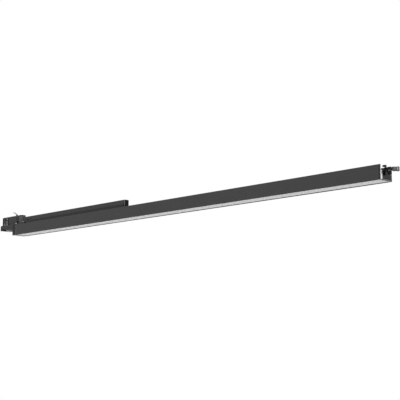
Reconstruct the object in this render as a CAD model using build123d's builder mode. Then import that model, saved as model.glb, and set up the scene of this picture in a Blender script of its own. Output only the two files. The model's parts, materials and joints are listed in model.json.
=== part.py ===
from build123d import *
from math import cos, radians
import os

os.makedirs("parts", exist_ok=True)

# Slim LED luminaire that hangs in a three-circuit track.
# X runs along the luminaire, Y across it and Z up.
# The origin is at mid-length of the whole, on the centre line, on the underside.

# ---------------------------------------------------------------- housing
housing_length = 1150.0
housing_width = 36.7
housing_height = 27.8
seat_gap = 2.8            # from the top of the walls up to the track
wall = 1.7
web = 2.0
channel_depth = 10.5      # open channel above the web
left_cap_length = 15.0
right_cap_length = 5.0
cap_edge = 1.0            # rounding of the left cap's outer edges
bevel_depth = 0.8         # along X, of the bevel round the right cap's outer face
bevel_side = 4.6          # its width along the upright edges
bevel_foot = 2.0          # its width along the lower edge
cap_tongue = 3.0          # how far a cap's tongue reaches into the profile
tongue_clear = 1.0        # round the tongue
port_radius = 2.3         # screw ports under the web
port_bore = 1.3
port_pitch = 27.0         # across the housing, from one port to the other
port_sink = 0.3           # how far a port reaches up into the web
board_drop = 5.2          # from the web down to the top of the light boards
rib = 0.8
rib_depth = 1.6
slide_gap = 0.12          # a board or the diffuser in its groove

# ---------------------------------------------------------------- diffuser
diffuser_recess = 1.0
diffuser_plate = 1.5
diffuser_leg = 1.0
diffuser_leg_height = 2.4
diffuser_hook = 0.5
clip_rib = 0.7
clip_height = 0.8

# ---------------------------------------------------------------- light boards
board_count = 4
board_margin = 5.0        # from the profile's end
board_thick = 1.0
board_gap = 1.0
chips_per_board = 25
chip_length = 3.5
chip_width = 2.8
chip_height = 0.8
bridge_length = 9.0       # plug bridge from one board to the next
bridge_width = 6.0
bridge_height = 2.4

# ---------------------------------------------------------------- screws
screw_radius = 1.25
screw_head_radius = 2.3
screw_head_height = 1.5
cap_screw_length = 12.6
cap_screw_grip = 4.6      # from the joint out to the head's face
hole_gap = 0.1
thread_gap = 0.02
drive_share = 0.5         # of the head's radius and depth
web_screw_reach = 1.0     # how far the web screws stand out under the web
base_screw_margin = (4.6, 7.0)  # in from the adaptor's right end and from the profile's left end
base_screw_y = 9.0
cradle_screw_rows = 4
cradle_screw_margin = 14.0
bracket_screw_x = (8.0, 30.0)
bracket_screw_y = 9.0
cover_screw_margin = (3.0, 11.6)  # in from the adaptor's left end and from the block's right end
cover_screw_y = 14.0
cover_boss_radius = 2.2
cover_boss_offset = 0.2   # from the base's side wall in to the boss's axis
cover_screw_radius = 0.8
cover_head_radius = 1.5
cover_head_height = 0.9
cover_screw_length = 5.6

# ---------------------------------------------------------------- adaptor
adaptor_length = 110.0
adaptor_overhang = 62.0   # how far it stands out past the left end
base_width = 32.0
base_wall = 2.0
base_corner = 2.0
cover_thick = 2.0
floor_thick = 2.0
recess_depth = 3.6        # for the lever and the dial, in the underside
block_inset = 3.0         # from the base's left end to the block
cam_gap = 0.8             # from the block's right end to the lock cam
block_width = 24.0
block_height = 22.4       # above the flange
block_wall = 1.6
block_corner = 2.0
block_top_edge = 1.0
drum_inset = 19.0         # from the block's left end to the contact drum's axis
drum_radius = 8.6
shaft_radius = 3.0
running_gap = 0.06
side_gap = 0.4            # end play between a turning piece and a fixed face
crank_circle = 7.0        # radius of the circle that the crank pins run on
crank_disc_radius = 8.6
crank_disc = 1.6          # thickness of the crank disc
crank_pin_radius = 1.4
open_pin_gap = 0.1        # round the cam's crank pin
link_thick = 1.8
link_width = 3.0
link_eye_wall = 1.1
cam_foot = 1.9            # how far the cam's shaft goes into the base's floor
cam_inset = 30.5          # from the adaptor's right end to the lock cam's axis
cam_radius = 8.8
cam_height = 23.3         # above the flange
wing_radius = 13.4
wing_width = 8.0
wing_thick = 2.0
wing_lift = 4.4           # above the flange
contact_levels = (1.7, 8.3, 16.0)# lower edges of the line contacts above the flange
contact_height = 2.0
contact_thick = 0.8       # how deep a contact strip sits in the drum
contact_stand = 1.4       # how far it stands out of the drum
contact_nose = 13.9       # from the drum's axis to the nose's tip
contact_slot_gap = 0.7    # above and below a contact
contact_slot_left = 10.1  # from the drum's axis to the slot's left end
contact_slot_right = 7.1  # and to its right end
contact_nose_half = 2.6
contact_tip_half = 1.0
contact_root = 0.6        # how far the nose's straight sides stand out of the ring
neutral_level = 11.0      # above the flange
neutral_width = 4.0
lever_thick = 4.8
lever_length = 17.5
lever_hub_radius = 6.5
lever_tip_radius = 3.2
lever_screw_head = 0.9
lever_screw_grip = 6.0
lever_drive = 1.5         # length of the lever screw's cross slot, as a share of its head's radius
lever_drop = 1.5          # how far the lever stands out under the base
lever_clear = 1.0
lever_flare = 1.0         # how much wider the arm is at the hub, each side
lever_groove = 1.0        # width of a finger groove, twice its depth
lever_groove_count = 3
lever_groove_pitch = 2.4
swing = 90.0              # turn of the lock lever
dial_radius = 6.6
dial_thick = 3.0
dial_lift = 0.3           # above the underside of the base
dial_offset = 27.0        # from the lever's axis to the dial's axis
dial_shaft = 1.8          # radius of the dial's shaft
dial_slot_width = 1.4
dial_slot_depth = 0.9
dial_edge = 0.5
switch_size = 12.0
switch_height = 2.0
switch_wall = 1.0         # in front of the dial's shaft
terminal_length = 5.0
terminal_width = 10.0
terminal_height = 4.4
terminal_socket = 3.0
bus_y = 9.4
bus_width = 1.9
bus_thick = 0.6
bus_lift = 1.0
earth_spring_run = 19.0   # along X, from its pin to its tip
earth_spring_rise = 11.5
earth_spring_width = 5.0
earth_spring_thick = 0.5
earth_lip_run = 1.7       # the lip bent down at the strip's tip
earth_lip_drop = 1.2
earth_pin_radius = 0.6
earth_curl = 0.6
earth_ear = 1.6
earth_ear_half = 2.2
earth_spring_lift = 0.3
earth_tab_offset = 1.1    # from the block's right end to the middle of the earth contacts
earth_tab_length = 5.0
earth_tab_thick = 1.2
earth_tab_height = 2.4    # above the flange
earth_tab_foot = 1.0      # below the cover
earth_tab_inset = 2.1     # in from the base's side
earth_inset = 11.9        # in from the block's right end to the earth spring's pin

# ---------------------------------------------------------------- driver
driver_length = 412.8
driver_lap = 16.3         # how far the driver reaches over the adaptor's right end
driver_width = 12.0
driver_height = 16.4
driver_wall = 1.0
driver_lid = 1.2
plug_flange = 1.2
plug_stub = 3.0
plug_edge = 0.5
lid_lip = 1.4
pcb_thick = 1.2
pcb_lift = 1.4
pcb_rail = 1.0            # ledge along each side that carries the board
transformer_share = 0.38  # places along the board, as shares of its length
capacitor_shares = (0.14, 0.58, 0.72)
inductor_shares = (0.12, 0.5)
transistor_shares = (0.26, 0.47, 0.84)
core_length = 24.0
core_width = 6.4
core_height = 9.4
core_leg = 5.0
core_yoke = 1.8
coil_width = 9.2
capacitor_radius = 4.3
capacitor_length = 21.0
inductor_radius = 4.4
inductor_flange = 1.2
inductor_height = 7.0
transistor_length = 6.6
transistor_height = 2.6
pcb_terminal = 8.0
cradle_wall = 1.0
cradle_height = 6.0       # walls beside the driver
cradle_gap = 0.1
cradle_end_gap = 0.5      # from the adaptor's right end to the cradle
cradle_foot = 5.4
cradle_foot_thick = 2.0
cradle_inset = 4.0        # from the driver's right end to the cradle's end

# ---------------------------------------------------------------- leads
lead_radius = 0.9
lead_pitch = 4.4
lead_bend = 3.5
grommet_radius = 1.8
grommet_lip = 0.8
lead_inset = 20.0         # from the driver's right end to the supply leads
mains_inset = 31.5        # from the driver's left end to the mains leads

# ---------------------------------------------------------------- turning latch at the right end
bracket_length = 52.0
bracket_width = 29.0
bracket_thick = 2.0
latch_reach = 6.5         # from the right end out to the pivot
tab_radius = 6.0
latch_hub_radius = 4.6
latch_hub_height = 3.4
pivot_radius = 2.5
pivot_knob_radius = 3.9
pivot_knob_height = 6.5
pivot_head_radius = 3.6
pivot_head = 0.6          # height of the pivot's head
washer_thick = 0.5
tongue_width = 5.0
tongue_height = 5.9       # from the hub's lower face to the head
tongue_length = 11.0
tongue_post = 2.2         # upright that carries the head
tongue_head_length = 6.5
tongue_head_overhang = 2.5
tongue_head_height = 3.0
tongue_edge = 0.5
blade_thick = 4.6
blade_height = 7.8
blade_drop = 4.6          # below the hub's lower face
blade_gap = 0.7           # round the bracket's tab
blade_reach = 14.1        # from the pivot to the middle of the tip bead
blade_sweep = 5.2
blade_flare = 1.0         # how much wider the blade is on its bent side
bead_radius = 2.9
bead_extra = 0.3

# ---------------------------------------------------------------- places worked out from the sizes
latch_overhang = latch_reach + blade_reach + bead_radius
overall_length = adaptor_overhang + housing_length + latch_overhang
underside = 0.0
wall_top = underside + housing_height
seat = wall_top + seat_gap
web_top = wall_top - channel_depth
web_under = web_top - web
inner_half = housing_width / 2 - wall
left_end = adaptor_overhang - overall_length / 2
right_end = left_end + housing_length
profile_start = left_end + left_cap_length
profile_end = right_end - right_cap_length
profile_length = profile_end - profile_start
port_z = web_under - port_radius + port_sink
board_top = web_under - board_drop
board_under = board_top - board_thick
plate_under = underside + diffuser_recess
plate_top = plate_under + diffuser_plate
clip_low = plate_top + slide_gap

adaptor_start = left_end - adaptor_overhang
base_half = base_width / 2
adaptor_end = adaptor_start + adaptor_length
base_top = seat - cover_thick
block_top = seat + block_height
recess_top = web_top + recess_depth
pocket_floor = recess_top + floor_thick
block_start = adaptor_start + block_inset
drum_x = block_start + drum_inset
cam_x = adaptor_end - cam_inset
block_end = cam_x - cam_radius - cam_gap
dial_x = drum_x + dial_offset
crank_low = pocket_floor + side_gap
crank_top = crank_low + crank_disc
link_low = crank_top + side_gap
link_top = link_low + link_thick
crank_shift = crank_circle * cos(radians(swing / 2))
driver_left = adaptor_end - driver_lap
driver_right = driver_left + driver_length
cradle_left = adaptor_end + cradle_end_gap
cradle_right = driver_right - cradle_inset
cradle_half = driver_width / 2 + cradle_gap
supply_x = driver_right - lead_inset
mains_x = driver_left + mains_inset
pivot_x = right_end + latch_reach
bracket_start = right_end - bracket_length
tab_top = web_top + bracket_thick
hub_low = tab_top + side_gap


def save(piece, name):
    """Label a finished piece and write its STEP file."""
    piece.part.label = name
    export_step(piece.part, "parts/" + name + ".step")


def slab(x, y, z, mode=Mode.ADD):
    """Add or cut a box given by its limits along each axis."""
    with Locations(((x[0] + x[1]) / 2, (y[0] + y[1]) / 2, (z[0] + z[1]) / 2)):
        Box(x[1] - x[0], y[1] - y[0], z[1] - z[0], mode=mode)


def post(centre, radius, z, mode=Mode.ADD):
    """Add or cut an upright cylinder between two heights."""
    with Locations((centre[0], centre[1], z[0])):
        Cylinder(radius, z[1] - z[0], align=(Align.CENTER, Align.CENTER, Align.MIN), mode=mode)


def driven_screw(plane, length, shank=screw_radius, head=screw_head_radius, sink=screw_head_height):
    """Add one countersunk screw: its head's outer face lies on the plane, its shank points inwards."""
    with BuildSketch(plane.offset(-length)) as shank_end:
        Circle(shank)
    extrude(to_extrude=shank_end.sketch, amount=length - sink, dir=plane.z_dir)
    with BuildSketch(plane.offset(-sink)) as neck:
        Circle(shank)
    with BuildSketch(plane) as face:
        Circle(head)
    loft(sections=[neck.sketch, face.sketch])
    with BuildSketch(plane) as drive:
        RegularPolygon(head * drive_share, 6)
    extrude(to_extrude=drive.sketch, amount=-sink * drive_share, mode=Mode.SUBTRACT)


def screw_hole(plane, depth, shank=screw_radius, head=screw_head_radius, sink=screw_head_height):
    """Cut the countersunk hole for one screw, from the plane inwards."""
    with BuildSketch(plane) as bore:
        Circle(shank + hole_gap)
    extrude(to_extrude=bore.sketch, amount=-depth, mode=Mode.SUBTRACT)
    with BuildSketch(plane.offset(-sink)) as neck:
        Circle(shank + hole_gap)
    with BuildSketch(plane) as mouth:
        Circle(head + hole_gap)
    loft(sections=[neck.sketch, mouth.sketch], mode=Mode.SUBTRACT)


def upright(place, height):
    """Return a plane that faces up, centred on a place at a height."""
    return Plane(origin=(place[0], place[1], height), z_dir=(0, 0, 1))


# ---------------------------------------------------------------- places of the screws in the web
base_screw_x = (adaptor_end - base_screw_margin[0], profile_start + base_screw_margin[1])
base_screw_places = [(x, side * base_screw_y) for x in base_screw_x for side in (-1, 1)]
cradle_span = cradle_right - cradle_left - 2 * cradle_screw_margin
cradle_screw_x = [cradle_left + cradle_screw_margin + n * cradle_span / (cradle_screw_rows - 1)
                  for n in range(cradle_screw_rows)]
cradle_screw_y = cradle_half + cradle_wall + cradle_foot / 2
cradle_screw_places = [(x, side * cradle_screw_y) for x in cradle_screw_x for side in (-1, 1)]
bracket_screw_places = [(bracket_start + x, side * bracket_screw_y)
                        for x in bracket_screw_x for side in (-1, 1)]
cover_screw_x = (adaptor_start + cover_screw_margin[0], block_end - cover_screw_margin[1])
cover_screw_places = [(x, side * cover_screw_y) for x in cover_screw_x for side in (-1, 1)]

# ================================================================ housing profile
with BuildPart() as housing_profile:
    with BuildSketch(Plane.YZ.offset(profile_start)):
        with Locations((0, underside + housing_height / 2)):
            Rectangle(housing_width, housing_height)
        with Locations((0, web_top + channel_depth / 2)):
            Rectangle(2 * inner_half, channel_depth, mode=Mode.SUBTRACT)
        with Locations((0, (underside + web_under) / 2)):
            Rectangle(2 * inner_half, web_under - underside, mode=Mode.SUBTRACT)
        for side in (-1, 1):
            rib_y = side * (inner_half - rib_depth / 2)
            with Locations((rib_y, board_top + slide_gap + rib / 2)):
                Rectangle(rib_depth, rib)
            with Locations((rib_y, board_under - slide_gap - rib / 2)):
                Rectangle(rib_depth, rib)
            with Locations((side * (inner_half - clip_rib / 2), clip_low + clip_height / 2)):
                Rectangle(clip_rib, clip_height)
            with Locations((side * port_pitch / 2, port_z)):
                Circle(port_radius)
                Circle(port_bore, mode=Mode.SUBTRACT)
    extrude(amount=profile_length)
    for place in base_screw_places + cradle_screw_places + bracket_screw_places:
        post(place, screw_radius + thread_gap, (web_under, web_top), Mode.SUBTRACT)
    with BuildSketch(Plane.XY.offset(web_under)) as lead_hole:
        with Locations((supply_x, 0)):
            SlotCenterToCenter(lead_pitch, 2 * grommet_radius, rotation=90)
    extrude(to_extrude=lead_hole.sketch, amount=web, mode=Mode.SUBTRACT)
save(housing_profile, "housing_profile")

# ================================================================ diffuser
with BuildPart() as diffuser:
    diffuser_half = inner_half - slide_gap
    leg_outer = inner_half - clip_rib - slide_gap
    hook_low = clip_low + clip_height + slide_gap
    hook_top = plate_top + diffuser_leg_height
    with BuildSketch(Plane.YZ.offset(profile_start)):
        with Locations((0, plate_under + diffuser_plate / 2)):
            Rectangle(2 * diffuser_half, diffuser_plate)
        for side in (-1, 1):
            leg_y = side * (leg_outer - diffuser_leg / 2)
            with Locations((leg_y, plate_top + diffuser_leg_height / 2)):
                Rectangle(diffuser_leg, diffuser_leg_height)
            with Locations((side * (leg_outer + diffuser_hook / 2), (hook_low + hook_top) / 2)):
                Rectangle(diffuser_hook, hook_top - hook_low)
    extrude(amount=profile_length)
save(diffuser, "diffuser")


# ================================================================ end caps and their screws
def end_cap(outer_x, inwards, length):
    """Add an end cap: a U-shaped block that leaves the upper channel open, with a locating tongue."""
    inner_x = outer_x + inwards * length
    with BuildSketch(Plane.YZ.offset(outer_x)) as outline:
        with Locations((0, underside + housing_height / 2)):
            Rectangle(housing_width, housing_height)
    extrude(to_extrude=outline.sketch, amount=inwards * length)
    slab(sorted((outer_x, inner_x)), (-inner_half, inner_half), (web_top, wall_top), Mode.SUBTRACT)
    tongue_half = inner_half - rib_depth - tongue_clear
    slab(sorted((inner_x, inner_x + inwards * cap_tongue)), (-tongue_half, tongue_half),
         (plate_top + tongue_clear, board_under - rib - tongue_clear))
    for side in (-1, 1):
        at = Plane(origin=(outer_x, side * port_pitch / 2, port_z), z_dir=(-inwards, 0, 0))
        sunk = length - cap_screw_grip
        with BuildSketch(at) as access:
            Circle(screw_head_radius + hole_gap)
        extrude(to_extrude=access.sketch, amount=-sunk, mode=Mode.SUBTRACT)
        screw_hole(at.offset(-sunk), cap_screw_grip)


with BuildPart() as end_cap_left:
    end_cap(left_end, 1, left_cap_length)
    outer_rim = faces().sort_by(Axis.X)[0].outer_wire().edges()
    fillet(outer_rim.filter_by(Axis.Z).group_by(Axis.Y)[0], cap_edge)
    fillet(outer_rim.filter_by(Axis.Z).group_by(Axis.Y)[-1], cap_edge)
save(end_cap_left, "end_cap_left")

with BuildPart() as end_cap_right:
    end_cap(right_end, -1, right_cap_length)
    for side in (-1, 1):
        with BuildSketch(Plane.XY.offset(underside)) as side_bevel:
            with BuildLine():
                Polyline((right_end - bevel_depth, side * housing_width / 2),
                         (right_end, side * housing_width / 2),
                         (right_end, side * (housing_width / 2 - bevel_side)), close=True)
            make_face()
        extrude(to_extrude=side_bevel.sketch, amount=housing_height, mode=Mode.SUBTRACT)
    with BuildSketch(Plane.XZ.offset(-housing_width / 2)) as foot_bevel:
        with BuildLine():
            Polyline((right_end - bevel_depth, underside), (right_end, underside),
                     (right_end, underside + bevel_foot), close=True)
        make_face()
    extrude(to_extrude=foot_bevel.sketch, amount=housing_width, mode=Mode.SUBTRACT)
save(end_cap_right, "end_cap_right")

with BuildPart() as end_cap_screws:
    for joint_x, inwards in ((profile_start, 1), (profile_end, -1)):
        for side in (-1, 1):
            at = Plane(origin=(joint_x - inwards * cap_screw_grip, side * port_pitch / 2, port_z),
                       z_dir=(-inwards, 0, 0))
            driven_screw(at, cap_screw_length)
save(end_cap_screws, "end_cap_screws")

# ================================================================ light boards
board_half = inner_half - slide_gap
board_zone = profile_length - 2 * board_margin
board_length = (board_zone - (board_count - 1) * board_gap) / board_count
chip_pitch = board_length / chips_per_board
board_starts = [profile_start + board_margin + n * (board_length + board_gap) for n in range(board_count)]

for number, board_x in enumerate(board_starts, start=1):
    with BuildPart() as led_board:
        slab((board_x, board_x + board_length), (-board_half, board_half), (board_under, board_top))
    save(led_board, "led_board_" + str(number))
    with BuildPart() as led_chips:
        with BuildSketch(Plane.XY.offset(board_under - chip_height)):
            with Locations((board_x + board_length / 2, 0)):
                with GridLocations(chip_pitch, 1, chips_per_board, 1):
                    Rectangle(chip_length, chip_width)
        extrude(amount=chip_height)
    save(led_chips, "led_chips_" + str(number))

with BuildPart() as board_bridges:
    bridge_y = inner_half - rib_depth - 2 * tongue_clear - bridge_width / 2
    for board_x in board_starts[1:]:
        middle = board_x - board_gap / 2
        slab((middle - bridge_length / 2, middle + bridge_length / 2),
             (bridge_y - bridge_width / 2, bridge_y + bridge_width / 2),
             (board_under - bridge_height, board_under))
save(board_bridges, "board_bridges")

# ================================================================ adaptor base
with BuildPart() as adaptor_base:
    slab((adaptor_start, adaptor_end), (-base_half, base_half), (web_top, base_top))
    fillet(edges().filter_by(Axis.Z), base_corner)
    slab((adaptor_start + base_wall, adaptor_end - base_wall),
         (-base_half + base_wall, base_half - base_wall), (pocket_floor, base_top), Mode.SUBTRACT)
    # Bosses for the screws of the cover.
    for place in cover_screw_places:
        side = 1 if place[1] > 0 else -1
        boss_y = side * (base_half - base_wall - cover_boss_offset)
        post((place[0], boss_y), cover_boss_radius, (pocket_floor, base_top))
        post(place, cover_screw_radius + thread_gap, (seat - cover_screw_length, base_top), Mode.SUBTRACT)
    # Recess in the underside where the lock lever swings from -X round to -Y.
    lever_side = lever_tip_radius + lever_clear
    with BuildSketch(Plane.XY.offset(web_top)) as swept:
        with BuildLine():
            Polyline((drum_x - lever_length - lever_clear, lever_side),
                     (drum_x - lever_length - lever_clear, -lever_side),
                     (drum_x - lever_side - lever_hub_radius, -base_half),
                     (drum_x + lever_side, -base_half),
                     (drum_x + lever_side, 0),
                     (drum_x, lever_side), close=True)
        make_face()
        with Locations((drum_x, 0)):
            Circle(lever_hub_radius + lever_clear)
    extrude(to_extrude=swept.sketch, amount=recess_depth, mode=Mode.SUBTRACT)
    post((drum_x, 0), shaft_radius + running_gap, (recess_top, pocket_floor), Mode.SUBTRACT)
    post((dial_x, 0), dial_radius + side_gap, (web_top, recess_top), Mode.SUBTRACT)
    post((dial_x, 0), dial_shaft + running_gap, (recess_top, pocket_floor), Mode.SUBTRACT)
    post((cam_x, 0), shaft_radius + running_gap, (pocket_floor - cam_foot, pocket_floor), Mode.SUBTRACT)
    for place in base_screw_places:
        screw_hole(upright(place, pocket_floor), pocket_floor - web_top)
    # Window for the mains terminal in the right end wall.
    slab((adaptor_end - base_wall, adaptor_end),
         (-terminal_width / 2 - thread_gap, terminal_width / 2 + thread_gap),
         (pocket_floor, pocket_floor + terminal_height + thread_gap), Mode.SUBTRACT)
save(adaptor_base, "adaptor_base")

# ================================================================ adaptor block, with the cover of the base
block_half = block_width / 2
tab_left = block_end + earth_tab_offset - earth_tab_length / 2
tab_outer = base_half - earth_tab_inset
tab_inner = tab_outer - earth_tab_thick
tab_right = tab_left + earth_tab_length
earth_tabs = [(tab_left, tab_right, -tab_outer, -tab_inner), (tab_left, tab_right, tab_inner, tab_outer)]
earth_x = block_end - earth_inset
earth_z = block_top + earth_pin_radius + earth_curl + earth_spring_lift
wing_z = seat + wing_lift
with BuildPart() as adaptor_block:
    slab((block_start, block_end), (-block_half, block_half), (seat, block_top))
    fillet(edges().filter_by(Axis.Z), block_corner)
    fillet(faces().sort_by(Axis.Z)[-1].edges(), block_top_edge)
    with BuildSketch(Plane.XY.offset(base_top)) as cover:
        with Locations(((adaptor_start + adaptor_end) / 2, 0)):
            RectangleRounded(adaptor_length, base_width, base_corner)
    extrude(to_extrude=cover.sketch, amount=cover_thick)
    slab((block_start + block_wall, block_end - block_wall),
         (-block_half + block_wall, block_half - block_wall), (seat, block_top - block_wall), Mode.SUBTRACT)
    post((drum_x, 0), shaft_radius + running_gap, (base_top, seat), Mode.SUBTRACT)
    post((cam_x, 0), shaft_radius + running_gap, (base_top, seat), Mode.SUBTRACT)
    for place in cover_screw_places:
        screw_hole(upright(place, seat), cover_thick, cover_screw_radius, cover_head_radius, cover_head_height)
    # A slot at each contact's height, in the front wall, for its nose to swing out of.
    for level in contact_levels:
        slot_low = seat + level - contact_slot_gap
        slab((drum_x - contact_slot_left, drum_x + contact_slot_right), (-block_half, -block_half + block_wall),
             (slot_low, slot_low + contact_height + 2 * contact_slot_gap), Mode.SUBTRACT)
    # The lock wings turn through a slot in the block's right end.
    post((cam_x, 0), wing_radius + side_gap, (wing_z - side_gap, wing_z + wing_thick + side_gap), Mode.SUBTRACT)
    # Slots through the cover for the earth contacts.
    for tab in earth_tabs:
        slab((tab[0] - hole_gap, tab[1] + hole_gap), (tab[2] - hole_gap, tab[3] + hole_gap),
             (base_top, seat), Mode.SUBTRACT)
    # Two ears on the roof hold the pin of the earth spring.
    for side in (-1, 1):
        ear_near = side * (earth_spring_width / 2 + side_gap)
        ear_far = ear_near + side * earth_ear
        slab((earth_x - earth_ear_half, earth_x + earth_ear_half), sorted((ear_near, ear_far)),
             (block_top - block_wall / 2, earth_z + earth_ear))
    with Locations(Location((earth_x, 0, earth_z), (90, 0, 0))):
        Cylinder(earth_pin_radius, earth_spring_width + 4 * earth_ear, mode=Mode.SUBTRACT)
save(adaptor_block, "adaptor_block")

# ================================================================ contact drum and lock lever
drum_top = block_top - block_wall - side_gap
lever_low = web_top - lever_drop
lever_top = lever_low + lever_thick
with BuildPart() as contact_drum:
    post((drum_x, 0), drum_radius, (seat + side_gap, drum_top))
    post((drum_x, 0), shaft_radius, (lever_top, seat + side_gap))
    post((drum_x, 0), crank_disc_radius, (crank_low, crank_top))
    post((drum_x - crank_shift, -crank_shift), crank_pin_radius, (crank_top, link_top))
    post((drum_x, 0), screw_radius, (lever_top, lever_top + lever_screw_grip), Mode.SUBTRACT)
    # Grooves that seat the contact strips.
    for level in contact_levels:
        with BuildSketch(Plane.XY.offset(seat + level)) as groove:
            with Locations((drum_x, 0)):
                Circle(drum_radius + contact_thick)
                Circle(drum_radius - contact_thick, mode=Mode.SUBTRACT)
        extrude(to_extrude=groove.sketch, amount=contact_height, mode=Mode.SUBTRACT)
save(contact_drum, "contact_drum")

nose_root = drum_x - drum_radius - contact_stand - contact_root
nose_tip = drum_x - contact_nose
for number, level in enumerate(contact_levels, start=1):
    with BuildPart() as line_contact:
        with BuildSketch(Plane.XY.offset(seat + level)):
            with Locations((drum_x, 0)):
                Circle(drum_radius + contact_stand)
            with BuildLine():
                Polyline((drum_x, contact_nose_half), (nose_root, contact_nose_half),
                         (nose_tip, contact_tip_half), (nose_tip, -contact_tip_half),
                         (nose_root, -contact_nose_half), (drum_x, -contact_nose_half), close=True)
            make_face()
            with Locations((drum_x, 0)):
                Circle(drum_radius - contact_thick, mode=Mode.SUBTRACT)
        extrude(amount=contact_height)
    save(line_contact, "line_contact_" + str(number))

with BuildPart() as lock_lever:
    tip_x = drum_x - lever_length + lever_tip_radius
    with BuildSketch(Plane.XY.offset(lever_low)):
        with BuildLine():
            Polyline((drum_x, lever_tip_radius + lever_flare), (tip_x, lever_tip_radius),
                     (tip_x, -lever_tip_radius), (drum_x, -lever_tip_radius - lever_flare), close=True)
        make_face()
        with Locations((drum_x, 0)):
            Circle(lever_hub_radius)
        with Locations((tip_x, 0)):
            Circle(lever_tip_radius)
    extrude(amount=lever_thick)
    # Finger ridges across the arm.
    for step in range(lever_groove_count):
        groove_x = tip_x + step * lever_groove_pitch
        slab((groove_x - lever_groove / 2, groove_x + lever_groove / 2),
             (-lever_hub_radius, lever_hub_radius), (lever_low, lever_low + lever_groove / 2), Mode.SUBTRACT)
    post((drum_x, 0), screw_radius, (lever_low, lever_top), Mode.SUBTRACT)
    post((drum_x, 0), screw_head_radius, (lever_low, lever_low + lever_screw_head), Mode.SUBTRACT)
save(lock_lever, "lock_lever")

with BuildPart() as lever_screw:
    post((drum_x, 0), screw_head_radius, (lever_low, lever_low + lever_screw_head))
    post((drum_x, 0), screw_radius, (lever_low + lever_screw_head, lever_top + lever_screw_grip))
    with BuildSketch(Plane.XY.offset(lever_low)) as drive:
        with Locations((drum_x, 0)):
            Rectangle(lever_drive * screw_head_radius, dial_slot_width / 2)
            Rectangle(dial_slot_width / 2, lever_drive * screw_head_radius)
    extrude(to_extrude=drive.sketch, amount=lever_screw_head * drive_share, mode=Mode.SUBTRACT)
save(lever_screw, "lever_screw")

# ================================================================ link bar from the drum to the lock cam
with BuildPart() as link_bar:
    with BuildSketch(Plane.XY.offset(link_low)):
        with Locations(((drum_x + cam_x) / 2 - crank_shift, -crank_shift)):
            Rectangle(cam_x - drum_x, link_width)
        with Locations((drum_x - crank_shift, -crank_shift), (cam_x - crank_shift, -crank_shift)):
            Circle(crank_pin_radius + link_eye_wall)
        with Locations((drum_x - crank_shift, -crank_shift)):
            Circle(crank_pin_radius + running_gap, mode=Mode.SUBTRACT)
        with Locations((cam_x - crank_shift, -crank_shift)):
            Circle(crank_pin_radius + open_pin_gap, mode=Mode.SUBTRACT)
    extrude(amount=link_thick)
save(link_bar, "link_bar")

# ================================================================ lock cam, wings and neutral contact
neutral_z = seat + neutral_level
with BuildPart() as lock_cam:
    post((cam_x, 0), cam_radius, (seat + side_gap, seat + cam_height))
    fillet(faces().sort_by(Axis.Z)[-1].edges(), block_top_edge)
    post((cam_x, 0), shaft_radius, (pocket_floor - cam_foot, seat + side_gap))
    post((cam_x, 0), crank_disc_radius, (crank_low, crank_top))
    post((cam_x - crank_shift, -crank_shift), crank_pin_radius, (crank_top, link_top))
    slab((cam_x - wing_radius, cam_x + wing_radius), (-wing_width / 2, wing_width / 2),
         (wing_z, wing_z + wing_thick), Mode.SUBTRACT)
    slab((cam_x, cam_x + wing_radius), (-neutral_width / 2, neutral_width / 2),
         (neutral_z, neutral_z + contact_height), Mode.SUBTRACT)
save(lock_cam, "lock_cam")

with BuildPart() as lock_wings:
    with BuildSketch(Plane.XY.offset(wing_z)):
        with Locations((cam_x, 0)):
            Circle(wing_radius)
            Rectangle(2 * wing_radius, wing_width, mode=Mode.INTERSECT)
    extrude(amount=wing_thick)
save(lock_wings, "lock_wings")

with BuildPart() as neutral_contact:
    with BuildSketch(Plane.XY.offset(neutral_z)):
        with Locations((cam_x, 0)):
            Circle(wing_radius)
        with Locations((cam_x + wing_radius / 2, 0)):
            Rectangle(wing_radius, neutral_width, mode=Mode.INTERSECT)
    extrude(amount=contact_height)
save(neutral_contact, "neutral_contact")

# ================================================================ phase selector and the mains terminal
switch_top = pocket_floor + switch_height
dial_low = web_top + dial_lift
with BuildPart() as phase_dial:
    post((dial_x, 0), dial_radius, (dial_low, dial_low + dial_thick))
    fillet(faces().sort_by(Axis.Z)[0].edges(), dial_edge)
    post((dial_x, 0), dial_shaft, (dial_low + dial_thick, switch_top - dial_edge))
    slab((dial_x - dial_radius, dial_x + dial_slot_width), (-dial_slot_width / 2, dial_slot_width / 2),
         (dial_low, dial_low + dial_slot_depth), Mode.SUBTRACT)
save(phase_dial, "phase_dial")

switch_front = -dial_shaft - switch_wall
with BuildPart() as phase_switch:
    slab((dial_x - switch_size / 2, dial_x + switch_size / 2),
         (switch_front, switch_front + switch_size), (pocket_floor, switch_top))
    post((dial_x, 0), dial_shaft + running_gap, (pocket_floor, switch_top), Mode.SUBTRACT)
save(phase_switch, "phase_switch")

lead_z = pocket_floor + terminal_height / 2
with BuildPart() as terminal_block:
    slab((adaptor_end - terminal_length, adaptor_end), (-terminal_width / 2, terminal_width / 2),
         (pocket_floor, pocket_floor + terminal_height))
    for side in (-1, 1):
        socket_mouth = Plane(origin=(adaptor_end, side * lead_pitch / 2, lead_z), z_dir=(1, 0, 0))
        with BuildSketch(socket_mouth) as socket:
            Circle(lead_radius + thread_gap)
        extrude(to_extrude=socket.sketch, amount=-terminal_socket, mode=Mode.SUBTRACT)
save(terminal_block, "terminal_block")

with BuildPart() as live_bus:
    bus_left = dial_x + switch_size / 2
    bus_right = adaptor_end - base_wall - bus_thick
    with BuildSketch(Plane.XY.offset(pocket_floor + bus_lift)):
        with BuildLine():
            Polyline((bus_left, bus_y), (bus_right - bus_width, bus_y),
                     (bus_right - bus_width, terminal_width / 2), (bus_right, terminal_width / 2),
                     (bus_right, bus_y + bus_width), (bus_left, bus_y + bus_width), close=True)
        make_face()
    extrude(amount=bus_thick)
save(live_bus, "live_bus")

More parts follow.
